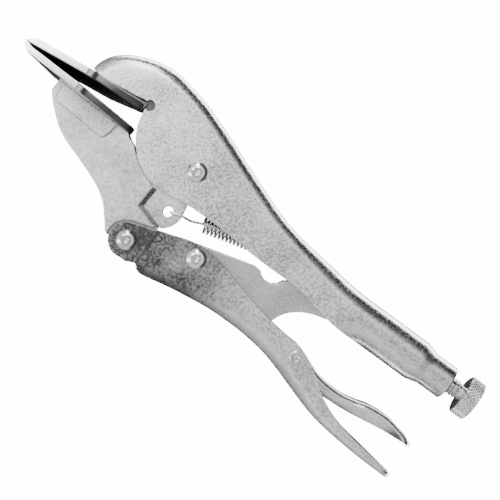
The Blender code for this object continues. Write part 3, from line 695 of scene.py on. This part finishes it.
INSERT_DEPTH = 4.6
insert_line = []
for row in handle_line[7:28:2]:
    back, edge = Vector(row[0:2]), Vector(row[2:4])
    insert_line.append(back + (edge - back).normalized() * INSERT_DEPTH)
insert_foot = [
    Vector((x, fixed_grip(x) + 3.5 / math.cos(math.radians(6.9)) + GAP)) for x in (-30.6, insert_line[0].x)
]
insert_line += [Vector((-24.4, 15.0)), Vector((-24.0, 6.5)), Vector((-27.6, 5.6)), Vector((-29.3, 7.2))]
# The insert is coloured with the dark nickel: painted shade inside the hook.
hook_insert = slab(
    "hook_insert", insert_line + insert_foot, -TANG_HALF, TANG_HALF, 0.4, None, None, None, painted_shade_nickel
)
ROOT_HALF = BODY_HALF - 0.5
root = [
    Vector((-45.6, fixed_grip(-45.6) + FIXED_BACK - 0.4)),
    Vector((-29.7, fixed_grip(-29.7) + 0.3)),
    Vector((-29.1, hook_foot(-29.1) - 0.4)),
    Vector((-45.6, hook_foot(-45.6) - 0.05)),
]
cut(hook_insert, slab("tool", root, -ROOT_HALF, ROOT_HALF, 0.1, None, None, None, None), "UNION")
settle(hook_insert, "fixed_half", "fixed_jaw")

# ---------------------------------------------------------------- movable jaw
# One forging: thick under the blade, thin at the tang that turns on the main rivet and at the tab that
# takes the spring, with a boss for the handle's ears.  The blade and two side flanges are welded on.
JAW_HALF = 7.0
EAR_HALF = JAW_HALF + 0.1
BOSS_HALF = EAR_HALF - SHEET - GAP
EAR_R = 6.7
SWING_GAP = 0.5
JAW_RIVET = flat("handle_pivot")
TANG_R = 9.5
SPRING_HOLE = Vector((-0.3, -17.8))
SPRING_HOLE_R = 2.0
TAB_END = Vector((4.9, -17.8))
STEP_X = -9.9


def jaw_seat(x):
    return moving_grip(x) - MOVING_BACK


ear_slope = math.radians(19.7)
ear_along = Vector((math.cos(ear_slope), math.sin(ear_slope)))
ear_up = Vector((-ear_along.y, ear_along.x))
RECESS_R = EAR_R + SWING_GAP
swing_edge = []
for row in handle_line[48:61]:
    edge = Vector(row[2:4])
    swing_edge.append(edge + edge.normalized() * SWING_GAP)
recess = [JAW_RIVET + ear_up * RECESS_R + ear_along * 8.5]
recess += arc(JAW_RIVET, RECESS_R, 90 + math.degrees(ear_slope), 200, 14)
belly = smooth([
    (-14.7, -37.0), (-17.6, -33.4), (-22.0, -28.7), (-28.4, -24.9), (-38.9, -21.1),
    (-44.9, -19.2), (-49.6, -16.9), (-53.7, -13.9), (-57.9, -10.1), (-60.6, -6.8),
], 5)
forging = [
    Vector((-60.4, jaw_seat(-60.4))),
    Vector((-THROAT - 0.2, jaw_seat(-THROAT))),
    Vector((-26.9, -4.4)),
    *swing_edge,
    Vector((STEP_X, -13.6)),
    Vector((STEP_X - 0.4, -22.6)),
    *recess,
    *belly,
]
jaw_forging = slab("jaw_forging", forging, -JAW_HALF, JAW_HALF, 0.55, None, None, None, forged_nickel)
tang = [
    Vector((-22.2, -7.9)),
    Vector((-20.0, -4.5)),
    *arc((0, 0), TANG_R, 150, -40, 24),
    *smooth([TAB_END + Vector(p) for p in (
        (-0.9, 6.3), (-0.1, 2.0), (0, 0), (-0.5, -2.2), (-1.7, -4.6), (-3.8, -6.6), (-7.0, -7.7),
    )], 4),
    Vector((-12.0, -24.0)),
    Vector((-16.0, -16.0)),
]
boss = arc(JAW_RIVET, EAR_R, -160, 85, 24) + arc(JAW_RIVET, RECESS_R + 1.0, 92, 192, 10)
cut(jaw_forging, slab("tool", tang, -TANG_HALF, TANG_HALF, 0.3, None, None, None, None), "UNION")
sill = [
    JAW_RIVET + ear_along * along + ear_up * (EAR_R + up)
    for along, up in ((-2, 1.2), (9.6, 1.2), (9.6, -1.0), (-2, -1.0))
]
cut(jaw_forging, slab("tool", sill, -BOSS_HALF + 0.1, BOSS_HALF - 0.1, 0.2, None, None, None, None), "UNION")
cut(jaw_forging, slab("tool", boss, -BOSS_HALF, BOSS_HALF, 0.3, None, None, None, None), "UNION")
POCKET_LOW = [(-12.0, -13.7), (-8.1, -13.7), (-8.5, -21.2), (1.0, -24.1), (-0.3, -25.1), (-12.0, -24.6)]
POCKET_HIGH = [(-12.0, -13.8), (-9.9, -13.8), (-10.3, -22.5), (-0.8, -25.2), (-1.4, -25.4), (-12.0, -24.6)]
for side in (1, -1):
    levels = [(POCKET_LOW, TANG_HALF - 0.6), (POCKET_LOW, TANG_HALF + 0.05), (POCKET_HIGH, JAW_HALF - 0.15)]
    slope = [[(x, y, side * z) for x, y in line] for line, z in levels]
    cut(jaw_forging, stacked("tool", slope, None, None, None), "UNION")
cut(jaw_forging, extruded(arc(SPRING_HOLE, SPRING_HOLE_R, 0, 350, 35), 2 * JAW_HALF))
for hole in (Vector((0, 0)), JAW_RIVET):
    cut(jaw_forging, extruded(arc(hole, RIVET_R + RUN_GAP, 0, 350, 35), 2 * JAW_HALF))
settle(jaw_forging, "jaw", "movable_jaw")

blade(
    "lower_blade_plate", moving_grip, -MOVING_BACK, THROAT, JAW_HALF, "jaw", "lower_blade", blade_nickel
)
cheek = [
    Vector((-58.6, jaw_seat(-58.6))),
    *smooth([
        (-58.2, -5.2), (-57.6, -8.6), (-55.6, -9.5), (-46.0, -10.0), (-36.8, -10.6), (-34.8, -9.6),
        (-33.8, -6.5),
    ], 3),
    Vector((-33.4, jaw_seat(-33.4))),
]
CHEEK_OUT = 8.3
for name, side in (("cheek_near", 1), ("cheek_far", -1)):
    node = "blade_" + name
    ends = sorted((side * (JAW_HALF - 1.0), side * CHEEK_OUT))
    slab(name + "_flange", cheek, *ends, 0.7, "jaw", node, "nickel_forging", forged_nickel)


# ---------------------------------------------------------------- rivets
# Solid steel rivets, peened over at both ends into a dome with a dimple from the tool, then plated.
RIVET_HEAD_R = 3.9
RIVET_HEAD = 1.4


def turned(name, at, profile, axis, body, node, material, sides=48, crease=35):
    """A closed profile of (radius, height) turned about an axis through at; radius 0 is a tip."""
    verts, rings, faces = [], [], []
    for r, h in profile:
        ring = []
        for i in range(sides if r else 1):
            angle = 2 * math.pi * i / sides
            a, b = r * math.cos(angle), r * math.sin(angle)
            ring.append(len(verts))
            verts.append((at[0] + a, at[1] + b, h) if axis == "Z" else (h, at[1] + a, b))
        rings.append(ring)
    closed = profile[0][0] > 0
    for one, two in list(zip(rings, rings[1:])) + ([(rings[-1], rings[0])] if closed else []):
        for i in range(sides):
            k = (i + 1) % sides
            corners = [one[i % len(one)], one[k % len(one)], two[k % len(two)], two[i % len(two)]]
            faces.append(tuple(dict.fromkeys(corners)))
    return new_piece(name, verts, faces, body, node, material, crease)


rivet_nickel = plated("rivet_nickel", (0.86, 0.86, 0.86), 0.14, grain=0.3, cloud=0.6, skin=0.2)
HEAD_LINE = [
    (0.0, 0.74), (0.08, 0.745), (0.15, 0.79), (0.2, 0.87), (0.25, 0.94), (0.31, 0.975), (0.4, 0.975),
    (0.52, 0.93), (0.65, 0.84), (0.77, 0.71), (0.87, 0.54), (0.94, 0.37), (0.985, 0.2), (1.0, 0.08),
    (0.98, 0.0),
]


def rivet(name, pivot, face, body, node):
    """Heads bear on both walls; face is the wall's outer side."""
    side = [(r * RIVET_HEAD_R, face + RUN_GAP + h * RIVET_HEAD) for r, h in HEAD_LINE]
    side.append((RIVET_R, face + RUN_GAP))
    turned(
        name, pivot, side + [(r, -z) for r, z in reversed(side)], "Z", body, node, rivet_nickel
    )


rivet("main_rivet_domed", Vector((0, 0)), BODY_HALF - RUN_GAP, "fixed_half", "main_rivet")
rivet("jaw_rivet_domed", JAW_RIVET, EAR_HALF - RUN_GAP, "handle", "jaw_rivet")

# ---------------------------------------------------------------- movable handle
# Pressed like the fixed one: narrow ears that take the jaw, a step out to the full width, then a
# channel with a creased side that runs out to a shallow, round-ended tail.
HANDLE_HALF = 8.4
HANDLE_R = 5.0
EAR_END = JAW_RIVET.x + EAR_R + 0.6
EAR_STEP = 1.6
EAR_DROP = 50.0


def handle_row(bx, by, ex, ey, corner=HANDLE_R, half=HANDLE_HALF, sheet=SHEET, slant=0.28):
    return Vector((bx, by, ex, ey, half, corner, sheet, 0, 0, slant))


def ear_top(x):
    """Upper edge of the handle along the ears."""
    start = JAW_RIVET + ear_up * EAR_R
    return start.y + math.tan(ear_slope) * (x - start.x)


handle_front = [handle_row(x, -EAR_DROP, x, ear_top(x), half=EAR_HALF) for x in (-15.0, EAR_END - 0.6)]
for step in range(9):
    share = step / 8
    x = EAR_END - 0.4 + (EAR_STEP + 0.4) * share
    half = EAR_HALF + (HANDLE_HALF - EAR_HALF) * share * share * (3 - 2 * share)
    handle_front.append(handle_row(x, -EAR_DROP + 8.3 * share, x, ear_top(x), half=half))
grip_line = smooth([
    handle_row(EAR_END + EAR_STEP + 0.1, -41.7, EAR_END + EAR_STEP + 0.1, ear_top(EAR_END + EAR_STEP + 0.1)),
    handle_row(5.5, -42.3, 5.2, -24.1),
    handle_row(14.6, -40.5, 12.0, -21.8),
    handle_row(22.0, -39.2, 18.5, -20.7),
    handle_row(32.2, -37.9, 27.5, -21.7),
    handle_row(40.0, -37.6, 37.0, -24.0, 5.6, slant=0.2),
    handle_row(48.5, -37.8, 46.5, -26.3, 5.8, slant=0.05),
    handle_row(58.0, -38.9, 57.0, -28.1, 5.8, slant=0),
    handle_row(66.0, -40.9, 66.5, -29.1, 5.8, slant=0),
    handle_row(73.9, -43.4, 75.0, -32.0, 5.5, slant=0),
    handle_row(81.0, -45.6, 83.0, -37.4, 4.6, slant=0),
    handle_row(87.7, -47.2, 90.5, -41.2, 3.6, sheet=2.0, slant=0),
    handle_row(97.0, -48.4, 99.0, -43.9, 2.9, sheet=1.8, slant=0),
    handle_row(108.0, -49.1, 109.0, -45.3, 2.4, sheet=1.6, slant=0),
    handle_row(115.5, -49.3, 116.0, -46.4, 1.9, 8.0, 1.6, 0),
    handle_row(120.0, -49.4, 120.3, -47.0, 1.7, 6.9, 1.6, 0),
    handle_row(122.6, -49.4, 122.8, -47.3, 1.6, 4.6, 1.6, 0),
], 5)
# The handle's front is painted darker up to 18 mm past the main rivet, fading out by 50 mm: painted shade.
lower_nickel = plated(
    "lower_nickel", (0.76, 0.765, 0.77), 0.29, grain=0.7, cloud=0.6, skin=0.3, dull_flats=0.06,
    painted_shade_span=(placed((18.0, 0, 0)).x, placed((50.0, 0, 0)).x),
)
lower_shell = pressed_sheet("movable_handle_shell", handle_front + grip_line, None, None, lower_nickel)
ear_front = arc(JAW_RIVET, EAR_R, 90 + math.degrees(ear_slope), 285, 30)
cut(lower_shell, extruded([
    *ear_front,
    Vector((EAR_END - 3.0, -41.7)),
    Vector((EAR_END + 0.2, -40.1)),
    Vector((EAR_END + EAR_STEP - 0.1, -40.9)),
    Vector((EAR_END + EAR_STEP - 0.1, -EAR_DROP - 5)),
    Vector((-20.0, -EAR_DROP - 5)),
    Vector((-20.0, -20.0)),
    ear_front[0] + Vector((0, 5)),
], 2 * HANDLE_HALF))
settle(lower_shell, "handle", "movable_handle")

# ---------------------------------------------------------------- toggle link
# A flat bar, blanked and tumbled, with a notch for the spring's anchor and an eye for its rivet.
TOGGLE_RIVET = flat("link_pivot")
LINK_HALF = 2.8
EYE_R = 5.4
NOSE_R = 4.0
link_outline = arc(TOGGLE_RIVET, EYE_R, 106, 268, 24) + smooth([
    (30.0, -31.05), (40.0, -31.15), (48.0, -31.2), (52.6, -30.2), (54.4, -27.5), (55.6, -24.6), (57.6, -21.8),
    (60.8, -19.1), (65.0, -17.0), (70.1, -15.5),
], 4) + arc((76.7, SCREW_AXIS), NOSE_R, -80, 90, 16) + smooth([
    (73.0, -4.0), (66.0, -4.6), (58.0, -7.4), (50.2, -12.2),
], 4) + arc((43.9, -12.0), 4.9, -15, -140, 12) + [Vector((37.3, -14.8))]
link_nickel = plated("link_nickel", (0.82, 0.825, 0.83), 0.24, grain=0.3, cloud=0.6, skin=0.15)
toggle_link = slab("toggle_link_bar", link_outline, -LINK_HALF, LINK_HALF, 0.5, None, None, None, link_nickel)
EYE_HALF = HANDLE_HALF - SHEET - GAP
eye = arc(TOGGLE_RIVET, EYE_R - 0.4, 0, 352.5, 47)
cut(toggle_link, slab("tool", eye, -EYE_HALF, EYE_HALF, 0.3, None, None, None, None), "UNION")
cut(toggle_link, extruded(arc(TOGGLE_RIVET, RIVET_R + RUN_GAP, 0, 350, 35), 2 * JAW_HALF))
settle(toggle_link, "link", "toggle_link")
rivet("toggle_rivet_domed", TOGGLE_RIVET, HANDLE_HALF - RUN_GAP, "handle", "toggle_rivet")

# ---------------------------------------------------------------- release lever
# Thin sheet folded into a narrow channel that nests in the handle and turns on a tubular pin; its
# flared tail is what the fingers press.
LEVER_HALF = HANDLE_HALF - SHEET - 2 * GAP
LEVER_R = 2.2
LEVER_FLARE = 0.8
LEVER_LEAN = 2.0


def lever_row(bx, by, ex, ey, flare=0.0, lean=0.0, sheet=1.8):
    return Vector((bx, by, ex, ey, LEVER_HALF + flare, LEVER_R, sheet, 0, lean, 0))


lever_line = smooth([
    lever_row(56.5, -30.6, 57.0, -33.8),
    lever_row(62.0, -29.0, 62.5, -35.2),
    lever_row(66.5, -28.7, 67.0, -36.4),
    lever_row(72.0, -30.2, 71.5, -37.8),
    lever_row(80.4, -33.3, 79.0, -38.9, lean=0.3),
    lever_row(89.7, -34.0, 88.5, -38.9, lean=1.0),
    lever_row(96.0, -32.9, 96.5, -38.3, 0.3 * LEVER_FLARE, 0.8 * LEVER_LEAN, 1.6),
    lever_row(101.5, -31.4, 103.0, -37.3, LEVER_FLARE, LEVER_LEAN, 1.5),
    lever_row(109.2, -30.7, 110.8, -36.1, LEVER_FLARE, LEVER_LEAN, 1.4),
    lever_row(117.1, -31.9, 117.5, -35.6, LEVER_FLARE, 0.8 * LEVER_LEAN, 1.2),
    lever_row(120.5, -33.0, 120.7, -35.5, 0.3 * LEVER_FLARE, 0.5 * LEVER_LEAN, 1.1),
    lever_row(122.6, -33.9, 122.7, -35.7, -2.0, 0.2 * LEVER_LEAN, 1.0),
], 5)
lever_nickel = plated("lever_nickel", (0.82, 0.825, 0.83), 0.25, grain=0.5, cloud=0.6, skin=0.2)
PIN_R = 2.0
lever_shell = pressed_sheet("release_lever_shell", lever_line, None, None, lever_nickel, 0.25)
cut(lever_shell, extruded(arc(flat("lever_pivot"), PIN_R + RUN_GAP, 0, 350, 35), 2 * LEVER_HALF))
settle(lever_shell, "lever", "release_lever")

PIN_BORE = 0.9
PIN_RIM = 0.4
pin_face = HANDLE_HALF
PIN_DEPTH = 3.0
pin_line = [
    (0, pin_face - PIN_DEPTH),
    (PIN_BORE, pin_face - PIN_DEPTH),
    (PIN_BORE, pin_face),
    (PIN_BORE + 0.15, pin_face + 0.3),
    (PIN_BORE + 0.5, pin_face + 0.5),
    (PIN_R, pin_face + 0.5),
    (PIN_R + 0.3, pin_face + 0.35),
    (PIN_R + PIN_RIM, pin_face + 0.1),
    (PIN_R, pin_face),
]
lever_pin = turned(
    "lever_pin_tube", flat("lever_pivot"), pin_line + [(r, -z) for r, z in reversed(pin_line)], "Z",
    "handle", "lever_rivet", rivet_nickel,
)

# The pin's bore takes the dark nickel: painted shade in the hole.
lever_pin.data.materials.append(painted_shade_nickel)
for polygon in lever_pin.data.polygons:
    if abs(polygon.center.z) < (pin_face + 0.1) * MM:
        polygon.material_index = 1

# ---------------------------------------------------------------- adjusting screw and knob
# A rolled coarse thread in the barrel's end; the knob is pressed on its spigot and has a diamond knurl.
SCREW_R = 3.5
SCREW_PITCH = 1.41
KNOB_START = 127.0
KNOB_WIDTH = 6.0
KNOB_R = 8.0
THREAD_DEPTH = 0.62
THREAD_SIDES = 40
THREAD_ROWS = 12
thread_nickel = plated("thread_nickel", (0.66, 0.66, 0.665), 0.3, grain=0.6, cloud=0.6)
thread_verts, thread_faces = [], []
thread_start, thread_turns = 84.8, 29
rows_in_all = thread_turns * THREAD_ROWS
for j in range(rows_in_all + 1):
    for i in range(THREAD_SIDES):
        turn = i / THREAD_SIDES
        place_on = j / THREAD_ROWS
        wave = abs(((place_on - turn) % 1.0) - 0.5) * 2
        crest = min(1.0, max(0.0, (wave - 0.12) / 0.76))
        ends = min(1.0, j / 6, (rows_in_all - j) / 6)
        r = SCREW_R - THREAD_DEPTH * (1 - crest * ends)
        angle = 2 * math.pi * turn
        thread_verts.append((
            thread_start + place_on * SCREW_PITCH,
            SCREW_AXIS + r * math.cos(angle),
            r * math.sin(angle),
        ))
for j in range(rows_in_all):
    for i in range(THREAD_SIDES):
        k = (i + 1) % THREAD_SIDES
        a, b = j * THREAD_SIDES, (j + 1) * THREAD_SIDES
        thread_faces.append((a + i, a + k, b + k, b + i))
thread_faces += [tuple(range(THREAD_SIDES)), tuple(range(rows_in_all * THREAD_SIDES, len(thread_verts)))]
screw = new_piece("adjusting_screw_thread", thread_verts, thread_faces, None, None, thread_nickel)
spigot = turned("tool", (0, SCREW_AXIS), [
    (0, 125.0), (2.7, 125.0), (2.7, 126.4), (2.6, 126.7), (2.6, 132.0), (2.2, 132.4), (0, 132.4),
], "X", None, None, None)
cut(screw, spigot, "UNION")
settle(screw, "screw", "adjusting_screw")

KNURL_AROUND = 34
KNURL_ROWS = 7
KNURL_HIGH = 0.5
KNURL_STEP = math.pi * KNOB_R / KNURL_AROUND


def grown(base, tree, values):
    """What a Geometry Nodes tree makes of a base object, as a plain mesh; the base is removed."""
    step = base.modifiers.new("grown", "NODES")
    step.node_group = tree
    for item in tree.interface.items_tree:
        if item.item_type == "SOCKET" and item.in_out == "INPUT" and item.name in values:
            step[item.identifier] = values[item.name]
    bpy.context.view_layer.update()
    seen = base.evaluated_get(bpy.context.evaluated_depsgraph_get())
    mesh = bpy.data.meshes.new_from_object(seen)
    base.modifiers.clear()
    bpy.data.objects.remove(base)
    return mesh


def tree_with(name, inputs):
    """An empty Geometry Nodes tree with named number inputs, and its bench and input node."""
    tree = bpy.data.node_groups.new(name, "GeometryNodeTree")
    tree.interface.new_socket("Geometry", in_out="INPUT", socket_type="NodeSocketGeometry")
    tree.interface.new_socket("Geometry", in_out="OUTPUT", socket_type="NodeSocketGeometry")
    for label in inputs:
        tree.interface.new_socket(label, in_out="INPUT", socket_type="NodeSocketFloat")
    entry = tree.nodes.new("NodeGroupInput")
    bench = Bench(tree)
    return tree, bench, {out.name: Socket(bench, out) for out in entry.outputs if out.name}


def close_tree(tree, bench, shape, material):
    """Realize Instances and Set Material, then the tree's output."""
    whole = bench.node("GeometryNodeRealizeInstances", None, {0: shape})
    coated = bench.node("GeometryNodeSetMaterial", None, {"Geometry": whole, "Material": material})
    bench.node("NodeGroupOutput", None, {0: coated})


knurl, bench, given = tree_with("knurl", ["Start", "Step", "Around", "Rows", "Base Radius", "High", "Centre"])
spots = bench.node(
    "GeometryNodeMeshLine", None, {"Count": KNURL_AROUND * KNURL_ROWS, "Offset": (0.0, 0.0, 0.0)}
)
index = bench.node("GeometryNodeInputIndex")
row = bench.node("ShaderNodeMath", {"operation": "FLOOR"}, {0: index / given["Around"]})
column = index - row * given["Around"]
odd = bench.node("ShaderNodeMath", {"operation": "MODULO"}, {0: row, 1: 2.0})
angle = (column + 0.5 * odd) * (2 * math.pi) / given["Around"]
outward = bench.node("ShaderNodeCombineXYZ", None, {
    1: bench.node("ShaderNodeMath", {"operation": "COSINE"}, {0: angle}),
    2: bench.node("ShaderNodeMath", {"operation": "SINE"}, {0: angle}),
})
base_at = bench.node(
    "ShaderNodeVectorMath", {"operation": "SCALE"}, {0: outward, "Scale": given["Base Radius"]}
)
along = bench.node("ShaderNodeCombineXYZ", None, {0: given["Start"] + row * given["Step"], 1: given["Centre"]})
spots = bench.node("GeometryNodeSetPosition", None, {"Geometry": spots, "Position": base_at + along})
pyramid = bench.node("GeometryNodeMeshCone", None, {
    "Vertices": 4, "Radius Top": 0.0, "Radius Bottom": 1.0, "Depth": 1.0,
})
turned_out = bench.node("FunctionNodeAlignRotationToVector", {"axis": "Z"}, {"Vector": outward})
turned_out = bench.node(
    "FunctionNodeAlignRotationToVector", {"axis": "X", "pivot_axis": "Z"},
    {"Rotation": turned_out, "Vector": (1.0, 0.0, 0.0)},
)
size = bench.node(
    "ShaderNodeCombineXYZ", None, {0: given["Step"], 1: given["Step"] * 1.02, 2: given["High"]}
)
points = bench.node("GeometryNodeInstanceOnPoints", None, {
    "Points": spots, "Instance": pyramid, "Rotation": turned_out, "Scale": size,
})
joined = knurl.nodes.new("GeometryNodeJoinGeometry")
knurl.links.new(points.socket, joined.inputs[0])
knurl.links.new(given["Geometry"].socket, joined.inputs[0])
knurl_nickel = plated("knurl_nickel", (0.62, 0.62, 0.625), 0.28, grain=0.6, cloud=0.6)
close_tree(knurl, bench, Socket(bench, joined.outputs[0]), knurl_nickel)

KNURL_CORE = KNOB_R - KNURL_HIGH
SPIGOT_BORE = 2.65
knob_core = turned("knob_core", (0, SCREW_AXIS), [
    (SPIGOT_BORE, KNOB_START + 0.3),
    (SPIGOT_BORE + 0.3, KNOB_START),
    (KNURL_CORE - 0.5, KNOB_START),
    (KNURL_CORE, KNOB_START + 0.4),
    (KNURL_CORE, KNOB_START + KNOB_WIDTH - 0.5),
    (KNURL_CORE - 0.15, KNOB_START + KNOB_WIDTH - 0.15),
    (KNURL_CORE - 0.6, KNOB_START + KNOB_WIDTH),
    (SPIGOT_BORE + 0.4, KNOB_START + KNOB_WIDTH),
    (SPIGOT_BORE, KNOB_START + KNOB_WIDTH - 0.4),
], "X", None, None, knurl_nickel, sides=68)
axis_at = placed((KNOB_START, SCREW_AXIS, 0))
knurl_width = (KNURL_ROWS - 1) * KNURL_STEP
knob_mesh = grown(knob_core, knurl, {
    "Start": axis_at.x + (KNOB_WIDTH - knurl_width) / 2 * MM,
    "Step": KNURL_STEP * MM,
    "Around": float(KNURL_AROUND),
    "Rows": float(KNURL_ROWS),
    "Base Radius": (KNURL_CORE - 0.03) * MM,
    "High": (KNURL_HIGH + 0.03) * MM,
    "Centre": axis_at.y,
})
knob = bpy.data.objects.new("adjusting_knob_knurled", knob_mesh)
bpy.context.scene.collection.objects.link(knob)
settle(knob, "knob", "adjusting_knob", 30)

# ---------------------------------------------------------------- return spring and its anchor
# Hard-drawn wire wound close, hooked through the jaw's tab at one end and round a pin between the
# handle's walls at the other.
WIRE_R = 0.5
COIL_R = 2.9
COIL_PITCH = 1.5
COIL_TURNS = 18
TURN_STEPS = 24
ANCHOR = Vector((44.5, -5.5, 0.0))
ANCHOR_R = 1.2
spring_along = Vector((math.cos(math.radians(15.3)), math.sin(math.radians(15.3)), 0))
spring_side = Vector((-spring_along.y, spring_along.x, 0))
coil_start = Vector((12.9, -13.9, 0))
over_tab = TANG_HALF + GAP + WIRE_R


def coil_point(turns):
    angle = 2 * math.pi * turns
    round_axis = Vector((0, 0, 1)) * math.cos(angle) + spring_side * math.sin(angle)
    return coil_start + spring_along * COIL_PITCH * turns + round_axis * COIL_R


hook_in = Vector((SPRING_HOLE.x, SPRING_HOLE.y, 0)) + spring_along * (SPRING_HOLE_R - GAP - WIRE_R)
wire = smooth([
    hook_in + Vector((0, 0, 2.0)),
    hook_in + Vector((0, 0, over_tab - 0.9)),
    hook_in + spring_along * 0.5 + Vector((0, 0, over_tab - 0.1)),
    hook_in + spring_along * 4.4 + Vector((0, 0.15, over_tab)),
    hook_in + spring_along * 8.0 + Vector((0, -0.3, 0.5 * (over_tab + COIL_R))),
    coil_point(0),
], 6)[:-1]
wire += [coil_point(i / TURN_STEPS) for i in range(COIL_TURNS * TURN_STEPS + 1)]
loop_r = ANCHOR_R + GAP + WIRE_R
wire += smooth([
    wire[-1],
    ANCHOR - spring_along * (loop_r + 1.2) + spring_side * 0.6 + Vector((0, 0, 0.6)),
    *[
        ANCHOR + loop_r * (-spring_along * math.cos(turn) + spring_side * math.sin(turn))
        for turn in (math.radians(40 * i) for i in range(1, 7))
    ],
], 5)[1:]
path = bpy.data.curves.new("spring_path", "CURVE")
path.dimensions = "3D"
line = path.splines.new("POLY")
line.points.add(len(wire) - 1)
for spot, p in zip(line.points, wire):
    spot.co = (*placed(p), 1)
spring_path = bpy.data.objects.new("spring_path", path)
bpy.context.scene.collection.objects.link(spring_path)
wire_nickel = plated("wire_nickel", (0.8, 0.8, 0.81), 0.24, grain=0.3, cloud=0.5)
drawn, bench, given = tree_with("drawn_wire", ["Wire Radius"])
ring = bench.node(
    "GeometryNodeCurvePrimitiveCircle", {"mode": "RADIUS"}, {"Resolution": 10, "Radius": given["Wire Radius"]}
)
rod = bench.node(
    "GeometryNodeCurveToMesh", None,
    {"Curve": given["Geometry"], "Profile Curve": ring, "Fill Caps": True},
)
close_tree(drawn, bench, rod, wire_nickel)
spring = bpy.data.objects.new("return_spring_wire", grown(spring_path, drawn, {"Wire Radius": WIRE_R * MM}))
bpy.context.scene.collection.objects.link(spring)
spring.data.shade_smooth()
spring.data.set_sharp_from_angle(angle=math.radians(50))
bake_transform(spring)
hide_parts("return_spring")
recoat("spring_anchor", rivet_nickel)
